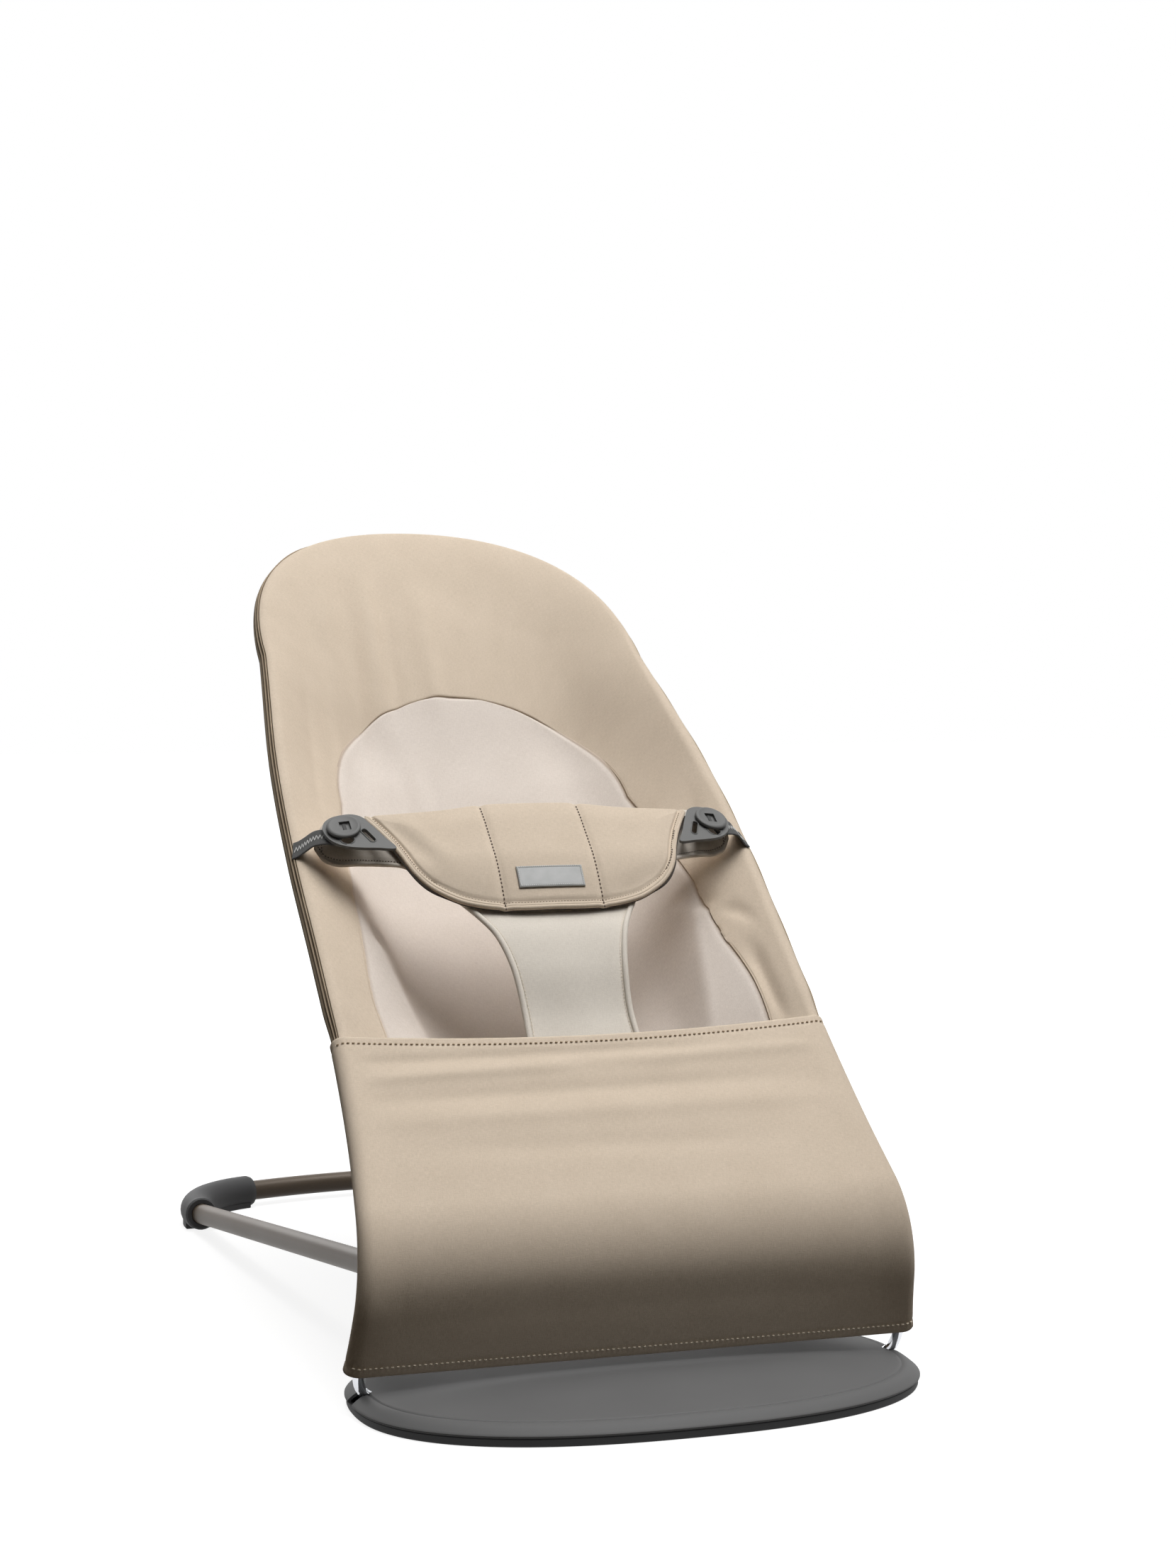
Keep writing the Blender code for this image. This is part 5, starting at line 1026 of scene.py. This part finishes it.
share = np.linspace(-1, 1, len(edge))
head = np.stack([FLAP_HALF * share, knots(np.abs(FLAP_HALF * share), FLAP_TOP)], axis=-1)
head[[0, -1]] = edge[[0, -1]]
column = head - edge
tall = np.linalg.norm(column, axis=1)
way = column / np.maximum(tall, 1e-9)[:, None]
rim = np.minimum(FLAP_RIM, 0.48 * tall)
v = np.linspace(0, 1, 64)[:, None, None]
start, stop = edge + way * rim[:, None], head - way * rim[:, None]
flat = start + (stop - start) * v
face, pad = flap_face(flat[..., 0], flat[..., 1])
back = face + 2 * rim + FLAP_CROWN * pad * ease(tall / 0.02)
turn = np.radians(np.linspace(0, 180, 9)[1:-1])[:, None]
over_top = stop + way * (rim * np.sin(turn))[..., None]
over_low = start - way * (rim * np.sin(turn))[..., None]
plan = np.concatenate([flat, over_top, flat[::-3], over_low[::-1]])
deep = [face, face[-1] + rim * (1 - np.cos(turn)), back[::-3], (face[0] + rim * (1 - np.cos(turn)))[::-1]]
flap_grid = place(plan[..., 0], plan[..., 1], np.concatenate(deep)).transpose(1, 0, 2)
flap_uv = np.concatenate([plan, plan[:1]]).transpose(1, 0, 2)
waist_flap = surface("quilted_flap", flap_grid, BEIGE, "beige_cotton", flap_uv, around=True, angle=70)
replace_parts(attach(waist_flap, "seat_frame"), "waist_flap")

depth, _ = flap_face(edge[:, 0], edge[:, 1])
outward = -way
outward[[0, -1]] = outward[[1, -2]]
piping_plan = edge + outward * 0.0003
piping_path = place(piping_plan[:, 0], piping_plan[:, 1], depth + FLAP_RIM)


def piping(name, path, radius, up, finish, slot, sides=14):
    """A cord in a cloth cover along a path; the cloth's flat place runs round it and along it."""
    rings = capped(path, radius, up, sides)
    round_it = np.linspace(0, 2 * np.pi * radius, sides + 1)
    uv = np.stack(np.broadcast_arrays(round_it, run_along(rings.mean(1))[:, None]), axis=-1)
    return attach(surface(name, rings, finish, slot, uv, around=True), "seat_frame")


piping("flap_piping", piping_path[2:-2], PIPING, sitter_side(edge[2:-2, 1]), BEIGE, "beige_cotton")
# A dark brown cord below and behind the piping: a painted shadow under the flap's edge, which widens out
# towards its ends.
PIPING_SHADOW = Finish("painted shadow under the piping", paint(52, 43, 35), 0.9, Sheen_Weight=0.1)
shadow_plan = edge + outward * (0.0005 + 0.002 * ease((np.abs(edge[:, :1]) - 0.07) / 0.02))
shadow_path = place(shadow_plan[:, 0], shadow_plan[:, 1], depth + FLAP_RIM + 0.0016)
shadow_rings = capped(shadow_path[3:-3], 0.0012, sitter_side(edge[3:-3, 1]), 10)
piping_shadow = surface("flap_piping_shadow", shadow_rings, PIPING_SHADOW, "beige_cotton", around=True)
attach(piping_shadow, "seat_frame")


def flap_stitches(name, x, s, colour, *sizes, over=0.0, slot="beige_cotton"):
    """Stitches through the points (x, s) of the flap's face."""
    path = place(x, s, flap_face(x, s)[0] - over)
    return stitches(name, path, sitter_side(s), colour, slot, *sizes)


for sign, side in ((-1, "left"), (1, "right")):
    s = np.linspace(0.3545, 0.448, 200)
    x = np.full(200, sign * CHANNEL_X)
    flap_stitches(f"quilting_seam_{side}", x, s, DARK_THREAD, 0.0018, 0.0013, 0.00055)
ditch = (edge - outward * DITCH_IN)[8:-8]
DITCH_THREAD = thread("brown", paint(118, 98, 75))
flap_stitches("piping_seam", *ditch.T, DITCH_THREAD, 0.0012, 0.001, 0.00036)
for number, (first, last) in enumerate(((0.9, 0.935), (0.8, 0.865)), 1):
    tack = ditch[round(first * len(ditch)) : round(last * len(ditch))] + (0.0006, 0.0)
    flap_stitches(f"end_tack_{number}", *tack.T, DARK_THREAD, 0.0015, 0.0012, 0.00042)

LABEL_HALF, LABEL_LOW, LABEL_HIGH, LABEL_HEM = 0.0239, 0.369, 0.3855, 0.0012
SATIN = Finish("silver grey satin", paint(174, 175, 174), 0.42, Sheen_Weight=0.15, Anisotropic=0.4)
flat = SATIN.place("UV")
ribs = SATIN.add("ShaderNodeSeparateXYZ", inputs={"Vector": flat}, output=1)
sheen = SATIN.noise(90.0, flat, 2.0)
rib = (ribs * (2 * math.pi / 0.00035)).maths("SINE")
SATIN.set(Base_Color=SATIN.mix(paint(150, 151, 150), paint(190, 191, 190), sheen))
SATIN.set(Roughness=0.36 + 0.14 * sheen)
SATIN.relief(rib, 0.00005, 0.5)
x, s = np.meshgrid(np.linspace(-LABEL_HALF, LABEL_HALF, 81), np.linspace(LABEL_LOW, LABEL_HIGH, 33))
gap = np.minimum(LABEL_HALF - np.abs(x), np.minimum(s - LABEL_LOW, LABEL_HIGH - s))
welt = 0.0006 * (1 - ease(gap / 0.0006)) + 0.00025 * bell(gap - 0.0017, 0.0003)
label_grid, label_uv = place(x, s, flap_face(x, s)[0] - 0.0015 + welt), np.stack([x, s], -1)
label = surface("satin_label", label_grid, SATIN, "label_grey", label_uv, facing=(0, -1, 0.5))
walled(label, 0.0004)
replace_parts(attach(label, "seat_frame"), "label_patch")
SILVER_THREAD = thread("silver", paint(222, 223, 222), 0.5)
w, low, high = LABEL_HALF - LABEL_HEM, LABEL_LOW + LABEL_HEM, LABEL_HIGH - LABEL_HEM
hem_line = np.array([(-w, low), (w, low), (w, high), (-w, high), (-w, low)])
run = run_along(hem_line)
x, s = at_run(np.linspace(0, run[-1], 400), run, hem_line).T
flap_stitches("label_stitches", x, s, SILVER_THREAD, 0.001, 0.0005, 0.00024, over=0.0017, slot="label_grey")


# ---------------------------------------------------------------------------------------------
# Crotch strip: light cotton from behind the waist flap down between the legs into the pocket, with
# both of its edges rolled over a cord.
# ---------------------------------------------------------------------------------------------

CROTCH_HALF = (
    (0.2, 0.044), (0.225, 0.0425), (0.25, 0.0402), (0.271, 0.0392), (0.29, 0.0398), (0.308, 0.0417),
    (0.324, 0.0448), (0.34, 0.0496), (0.355, 0.0567), (0.372, 0.066),
)
CROTCH_DEPTH = (
    (0.2, 0.02), (0.225, 0.009), (0.245, 0.001), (0.275, -0.005), (0.31, -0.0165), (0.338, -0.0206),
    (0.35, -0.02), (0.372, -0.018),
)
CORD = 0.0021
STRIP = cloth("light cotton strip", paint(228, 221, 210), paint(208, 200, 189), paint(176, 164, 148))
rows = np.linspace(CROTCH_HALF[0][0], CROTCH_HALF[-1][0], 90)
half, deep = knots(rows, CROTCH_HALF) - CORD, knots(rows, CROTCH_DEPTH)
share = np.linspace(-1, 1, 41)
depth = deep[:, None] + 0.001 - 0.0006 * (1 - share**2) + 0.0005 * bell(1 - np.abs(share), 0.1)
depth = depth + 0.0004 * np.sin(3.1 * share + 40 * rows[:, None])
x, s = np.broadcast_arrays(half[:, None] * share, rows[:, None])
strip_grid, strip_uv = place(x, s, depth), np.stack([x, s], -1)
strip = surface("crotch_strip", strip_grid, STRIP, "light_cotton", strip_uv, angle=70, facing=(0, -1, 0.5))
walled(strip, 0.0014)
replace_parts(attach(strip, "seat_frame"), "crotch_panel")
for sign, side in ((-1, "left"), (1, "right")):
    cord_path = place(sign * half, rows, deep + 0.0012)
    piping(f"crotch_piping_{side}", cord_path, CORD, sitter_side(rows), STRIP, "light_cotton")
    inner = place(sign * half - sign * 0.003, rows, deep + 0.0009)
    stitches(f"crotch_seam_{side}", inner, sitter_side(rows), THREAD, "light_cotton", 0.0016, 0.001, 0.00026)


# ---------------------------------------------------------------------------------------------
# Buckles: a grey moulded keyhole plate is sewn to each end of the flap, over a tongue of its
# lining. A disc button passes through it, on an elastic strap that comes out of the sleeve's seam.
# ---------------------------------------------------------------------------------------------

BUTTON_X, BUTTON_AT, BUTTON_LIFT, BUTTON_RADIUS, BUTTON_THICKNESS = 0.1349, 0.4337, 0.0327, 0.0119, 0.003
BUTTON_NECK, BUTTON_FOOT_RADIUS, BUTTON_FOOT_HIGH = 0.0024, 0.004, 0.0012
BUTTON_WINDOW, BUTTON_BAR, BUTTON_TRAVEL = (0.0068, 0.0092), 0.0028, 0.0115
BUCKLE_ROLL, BUCKLE_PITCH, PLATE_THICKNESS = 0.125, 0.058, 0.0024
TAB_END, TAB_ROLL, TAB_SEAM = 0.1525, 0.0012, 0.0036
DISC_FOOT_LIFT = BUTTON_LIFT - BUTTON_THICKNESS
PLATE_LIFT = DISC_FOOT_LIFT - 0.0005 - PLATE_THICKNESS
PLATE_OUTLINE = (
    (0.104, 0.4075), (0.117, 0.41), (0.126, 0.4118), (0.1348, 0.4145), (0.1415, 0.4183), (0.1463, 0.4236),
    (0.1489, 0.43), (0.1496, 0.437), (0.1472, 0.4432), (0.142, 0.4474), (0.135, 0.449), (0.1262, 0.4484),
    (0.1215, 0.4455), (0.1165, 0.4365), (0.1095, 0.4205),
)
STITCH_SLOT, STITCH_SLOT_HALF = ((0.1221, 0.4292), (0.118, 0.4188)), 0.0019
STRAP_WIDTH, STRAP_THICKNESS, STRAP_INNER, STRAP_OUTER = 0.0118, 0.0012, (0.1385, 0.43), (0.167, 0.4365)
STRAP_LIFT = (
    (0.138, 0.023), (0.149, 0.0228), (0.1565, 0.019), (0.162, 0.012), (0.1648, 0.0087), (0.1682, 0.0062),
)
TAB_EDGE = (
    (0.09, 0.396, -0.0215), (0.098, 0.3992, -0.024), (0.112, 0.407, -0.019), (0.125, 0.4147, -0.0125),
    (0.1426, 0.422, -0.007), (0.148, 0.425, -0.008), (0.1525, 0.433, -0.0105),
)
TAB_TOP = (
    (0.09, 0.443, -0.0215), (0.104, 0.446, -0.0255), (0.118, 0.45, -0.0255), (0.128, 0.4515, -0.0232),
    (0.137, 0.451, -0.0215), (0.148, 0.447, -0.019), (0.1525, 0.44, -0.016),
)
BUCKLE_PLASTIC = moulded("satin grey buckle plastic", paint(92, 92, 91), 0.5, grain=1500.0, depth=0.00003)
BUCKLE_PLASTIC.set(Specular_IOR_Level=0.3)
ELASTIC = Finish("dark grey elastic", paint(60, 60, 60), 0.85, Sheen_Weight=0.1)
flat = ELASTIC.place("UV")
ELASTIC.set(Base_Color=ELASTIC.mix(paint(44, 44, 44), paint(76, 76, 75), ELASTIC.noise(1200.0, flat, 1.0)))
ELASTIC.relief(ELASTIC.noise(1500.0, flat, 1.0), 0.0002, 0.7)
ZIGZAG_THREAD = thread("grey", paint(188, 188, 186))


def buckle_place(x, s, lift):
    """Points on the buckle's tilted planes, lift above the side wires at the button."""
    x, s = np.asarray(x), np.asarray(s)
    return place(x, s, -np.asarray(lift) + BUCKLE_ROLL * (x - BUTTON_X) + BUCKLE_PITCH * (s - BUTTON_AT))


def plate_shell(ring, low, high, sign=1):
    """Points and faces of a flat plate with an outline of (x, s) points, between two lifts."""
    x, s = np.array(ring, float).T
    points = np.concatenate([buckle_place(x, s, lift) for lift in (low, high)]) * (sign, 1, 1)
    count = len(ring)
    walls = grid_faces(2, count, around=True).tolist()
    return points, walls + [list(range(count)), list(range(count, 2 * count))]


def arc(centre, radius, start, stop, count):
    turn = np.radians(np.linspace(start, stop, count))
    return np.stack([centre[0] + radius * np.cos(turn), centre[1] + radius * np.sin(turn)], axis=-1)


def slot_ring(start, stop, half, count=14):
    """Outline of a slot with round ends between two points."""
    way = math.degrees(math.atan2(stop[1] - start[1], stop[0] - start[0]))
    ends = ((start, way + 90, way + 270), (stop, way - 90, way + 90))
    return np.concatenate([arc(end, half, first, last, count) for end, first, last in ends])


seat, release = (BUTTON_X, BUTTON_AT), (BUTTON_X, BUTTON_AT - BUTTON_TRAVEL)
plate_top = PLATE_LIFT + PLATE_THICKNESS
rims = (
    ("stitch_slot", slot_ring(*STITCH_SLOT, STITCH_SLOT_HALF + 0.0004), True),
    ("release_hole", arc(release, BUTTON_FOOT_RADIUS + 0.0009, -70, 250, 34), False),
)
for sign, side in ((1, "right"), (-1, "left")):
    deep = (PLATE_LIFT - 0.01, plate_top + 0.01, sign)
    shell = plate_shell(smooth_path(PLATE_OUTLINE, 110, True), PLATE_LIFT, plate_top, sign)
    plate = piece(f"keyhole_plate_{side}", *shell, BUCKLE_PLASTIC, "buckle_plastic", angle=30)
    cutting(
        plate,
        plate_shell(slot_ring(seat, release, BUTTON_NECK + 0.0006), *deep),
        plate_shell(arc(release, BUTTON_FOOT_RADIUS + 0.0006, 0, 348, 30), *deep),
        plate_shell(slot_ring(*STITCH_SLOT, STITCH_SLOT_HALF), *deep),
    )
    softened(plate, 0.0005, 3)
    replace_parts(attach(plate, "seat_frame"), f"buckle_plate_{side}")
    for name, ring, closed in rims:
        line = buckle_place(*ring.T, plate_top) * (sign, 1, 1)
        up = sitter_side(np.full(len(line), BUTTON_AT))
        rim = tube(line, 0.0005, up, 10, closed=True) if closed else capped(line, 0.0005, up, 10)
        rim = surface(f"{name}_rim_{side}", rim, BUCKLE_PLASTIC, "buckle_plastic", around=True, over=closed)
        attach(rim, "seat_frame")

_, _, heading = side_view(BUTTON_AT)
cosine, sine = math.cos(heading), math.sin(heading)
axis = unit(np.array([BUCKLE_ROLL, BUCKLE_PITCH * cosine - sine, BUCKLE_PITCH * sine + cosine]))
base = PLATE_LIFT - 0.0004 - BUTTON_FOOT_HIGH
disc_foot = DISC_FOOT_LIFT - base
crest = disc_foot + BUTTON_THICKNESS
# The button from its foot up, as (radius, height): foot, neck, the disc's edge and its dished top.
profile = [(0.0, 0.0), (0.0034, 0.0), (BUTTON_FOOT_RADIUS, 0.0004), (BUTTON_FOOT_RADIUS, BUTTON_FOOT_HIGH)]
profile += [(BUTTON_NECK, BUTTON_FOOT_HIGH), (BUTTON_NECK, disc_foot), (BUTTON_RADIUS - 0.0009, disc_foot)]
profile += [(BUTTON_RADIUS - 0.0003, disc_foot + 0.0003), (BUTTON_RADIUS, disc_foot + 0.001)]
for inset, fall in ((0.0, 13), (0.0003, 6), (0.0009, 2), (0.0017, 0), (0.0024, 1), (0.0034, 4)):
    profile.append((BUTTON_RADIUS - inset, crest - fall * 0.0001))
profile += [(radius, crest - 0.0004) for radius in (0.006, 0.003, 0.0)]
radius, height = np.array(profile).T[..., None, None]
sideways = unit(np.cross(axis, (0.0, 0.0, 1.0)))
turn = np.radians(np.arange(0, 360, 6))
ring = np.cos(turn)[:, None] * sideways + np.sin(turn)[:, None] * np.cross(axis, sideways)
disc_grid = buckle_place(BUTTON_X, BUTTON_AT, base) + height * axis + radius * ring
corners = ((-1, 1), (-1, -1), (1, -1), (1, 1))
window, loop = (
    [(BUTTON_X + x * half, BUTTON_AT + s * BUTTON_WINDOW[1] / 2) for x, s in corners]
    for half in (BUTTON_WINDOW[0] / 2 + 0.0003, BUTTON_BAR / 2)
)
for sign, side in ((1, "right"), (-1, "left")):
    grid = disc_grid * (sign, 1, 1)
    disc = surface(f"button_disc_{side}", grid, BUCKLE_PLASTIC, "buckle_plastic", around=True, angle=35)
    cutting(disc, plate_shell(window, DISC_FOOT_LIFT + 0.0006, BUTTON_LIFT + 0.004, sign))
    bar = plate_shell(loop, DISC_FOOT_LIFT, BUTTON_LIFT - 0.0019, sign)
    crossing = piece(f"button_loop_{side}", *bar, ELASTIC, "elastic")
    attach(softened(crossing, 0.0006, 3), f"buckle_{side}")
    softened(disc, 0.0003, 2, 50)
    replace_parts(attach(disc, f"buckle_{side}"), f"buckle_button_{side}")

start, stop = np.array(STRAP_INNER), np.array(STRAP_OUTER) + (0.0012, 0.0)
way = unit(stop - start)
wide = np.array([-way[1], way[0]]) * STRAP_WIDTH / 2
share = np.linspace(0, 1, 50)
line = start + (stop - start) * share[:, None]
edges = line[:, None] + wide * np.linspace(-1, 1, 13)[:, None] * np.linspace(1.22, 1.42, 50)[:, None, None]
depth = -knots(line[:, 0], STRAP_LIFT) - STRAP_THICKNESS
strap_grid = place(edges[..., 0], edges[..., 1], depth[:, None])
run = run_along(strap_grid[:, 6])
strap_uv = np.stack(np.broadcast_arrays(run[:, None], np.linspace(0, STRAP_WIDTH, 13)), axis=-1)
zig = np.arange(0.0005, run[-1] - 0.0005, 0.0013)
at = np.interp(zig, run, share)
number = np.arange(len(zig))
zig_plan = start + (stop - start) * at[:, None] + wide * np.where(number % 2 == 0, 0.4, -0.4)[:, None]
zig_path = place(*zig_plan.T, np.interp(at, share, depth) - 0.0001)
fine = np.linspace(0, len(zig) - 1, 4 * len(zig) - 3)
zig_path, zig_up = at_run(fine, number, zig_path), sitter_side(np.interp(fine, number, zig_plan[:, 1]))
for sign, side in ((1, "right"), (-1, "left")):
    grid = strap_grid * (sign, 1, 1)
    strap = surface(f"elastic_strap_{side}", grid, ELASTIC, "elastic", strap_uv, facing=(0, -1, 0.8))
    walled(strap, STRAP_THICKNESS)
    softened(strap, 0.0003, 2)
    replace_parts(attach(strap, f"buckle_{side}"), f"strap_{side}")
    zigzag = capped(zig_path * (sign, 1, 1), 0.00028, zig_up, 6)
    zigzag = surface(f"strap_stitches_{side}", zigzag, ZIGZAG_THREAD, "elastic", around=True)
    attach(zigzag, f"buckle_{side}")

low, high = np.array(TAB_EDGE), np.array(TAB_TOP)
round_corner = 0.146 + 0.0065 * np.sin(np.radians(np.linspace(0, 90, 14)[1:]))
xs = np.concatenate([np.linspace(0.09, 0.146, 50), round_corner])
low_s, high_s = knots(xs, low[:, :2]), knots(xs, high[:, :2])
low_depth, high_depth = knots(xs, low[:, ::2]), knots(xs, high[:, ::2])


def tab_depth(x, s):
    """The lining tab's depth: with v from its low edge to its top, top + (edge - top) (1 - v)^1.6."""
    rows = (low_s, high_s - low_s, high_depth, low_depth - high_depth)
    bottom, tall, top, fall = (np.interp(x, xs, row) for row in rows)
    return top + fall * (1 - np.clip((s - bottom) / tall, 0, 1)) ** 1.6


s = low_s + (high_s - low_s) * np.linspace(0, 1, 31)[:, None]
roll = np.minimum(s - low_s, TAB_END - xs)
short = 1 - np.clip(roll / TAB_ROLL, 0, 1)
border = TAB_ROLL * (1 - np.sqrt(1 - short**2)) + 0.0005 * bell(roll - TAB_SEAM, 0.0009)
tab_grid = place(xs, s, tab_depth(xs, s) + border)
tab_uv = np.stack(np.broadcast_arrays(xs, s), axis=-1)
seam_end = [(TAB_END - TAB_SEAM, at) for at in np.linspace(0.4292, 0.439, 8)]
cord_end = [(TAB_END - 0.0005, at) for at in np.linspace(low_s[-1] + 0.003, high_s[-1] - 0.001, 6)]
seam_plan = np.concatenate([np.stack([xs[2:-3], low_s[2:-3] + TAB_SEAM], -1), seam_end])
cord_plan = np.concatenate([np.stack([xs[1:], low_s[1:] + 0.001], -1), cord_end])
(seam_path, seam_up), (cord_path, cord_up) = (
    (place(*plan.T, tab_depth(*plan.T) + below), sitter_side(plan[:, 1]))
    for plan, below in ((seam_plan, 0.0004), (cord_plan, 0.0008))
)
TAB_COTTON = cloth("greige lining", paint(228, 219, 208), paint(206, 196, 184), paint(150, 138, 122))
for sign, side in ((1, "right"), (-1, "left")):
    flip, look = (sign, 1, 1), {"angle": 70, "facing": (0, -1, 0.8)}
    tab = surface(f"lining_tab_{side}", tab_grid * flip, TAB_COTTON, "light_cotton", tab_uv, **look)
    walled(tab, 0.0022)
    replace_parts(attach(tab, "seat_frame"), f"flap_tab_{side}")
    piping(f"tab_piping_{side}", cord_path * flip, 0.0015, cord_up, TAB_COTTON, "light_cotton", 12)
    sizes = (0.0013, 0.0008, 0.00036)
    stitches(f"tab_seam_{side}", seam_path * flip, seam_up, DARK_THREAD, "light_cotton", *sizes)


# ---------------------------------------------------------------------------------------------
# Studio: a wide pale floor and a white surround. Two large soft lamps hang high overhead, the
# stronger one to the right and the front, with a weak fill in front and a small lamp behind. The
# camera stands low in front, to the left of the bouncer.
# ---------------------------------------------------------------------------------------------

FLOOR = Finish("pale studio floor", paint(150, 150, 150), 0.9, Specular_IOR_Level=0.0)
far = FLOOR.add("ShaderNodeVectorMath", {"operation": "LENGTH"}, {0: FLOOR.place()}, output="Value")
reach = {"Value": far, "From Min": 0.8, "From Max": 3.5}
far = FLOOR.add("ShaderNodeMapRange", {"interpolation_type": "SMOOTHSTEP"}, reach)
seen = FLOOR.seen()
FLOOR.set(Base_Color=FLOOR.mix(paint(60, 56, 50), paint(150, 150, 150), seen), Emission_Strength=1.0)
FLOOR.set(Emission_Color=FLOOR.mix((0.0, 0.0, 0.0), (1.1, 1.1, 1.1), seen * (0.79 + 0.2 * far)))
ground = [(x * 9.0, y * 9.0, 0.0) for x, y in ((-1, -1), (1, -1), (1, 1), (-1, 1))]
piece("studio_floor", ground, [(0, 1, 2, 3)], FLOOR, "base_plastic", facing=(0, 0, 1))

scene = bpy.context.scene
scene.view_settings.view_transform = "Standard"
scene.world = bpy.data.worlds.new("studio")
scene.world.use_nodes = True
studio = Nodes(scene.world.node_tree)
background = studio.tree.nodes["Background"].inputs
seen = studio.seen()
strength = studio.add("ShaderNodeMapRange", inputs={"Value": seen, "To Min": 0.035, "To Max": 1.0})
studio.join(background["Strength"], strength)
studio.join(background["Color"], studio.mix((1.0, 0.9, 0.76), (1.0, 1.0, 1.0), seen))


def lamp(name, at, towards, size, watts):
    """A round area lamp whose face is turned towards a point."""
    light = bpy.data.lights.new(name, "AREA")
    light.shape, light.size, light.energy = "DISK", size, watts
    obj = bpy.data.objects.new(name, light)
    scene.collection.objects.link(obj)
    obj.location = at
    away = unit(np.array(at, float) - np.array(towards, float))
    obj.rotation_euler = (math.acos(away[2]), 0.0, math.atan2(away[1], away[0]) + math.pi / 2)


lamp("overhead lamp", (0.6, 0.35, 5.6), (0.0, 0.1, 0.2), 4.6, 170.0)
lamp("key lamp", (1.35, -1.0, 5.5), (0.0, 0.1, 0.25), 4.2, 232.0)
lamp("front fill", (0.9, -2.2, 2.8), (0.0, 0.1, 0.2), 1.6, 3.0)
lamp("back lamp", (-0.5, 3.2, 1.7), (0.0, 0.3, 0.25), 2.0, 26.0)

FOCAL, FRAME_HEIGHT, HORIZON = 4000.0, 2212.0, 226.0  # in pixels of the photograph
camera = bpy.data.objects.new("camera", bpy.data.cameras.new("camera"))
scene.collection.objects.link(camera)
camera.data.sensor_width = 36.0
camera.data.lens = 36.0 * FOCAL / FRAME_HEIGHT
camera.location = (-0.586, -1.685, 0.488)
camera.rotation_euler = (math.pi / 2 - math.atan2(HORIZON, FOCAL), 0.0, math.radians(-18.2))
scene.camera = camera
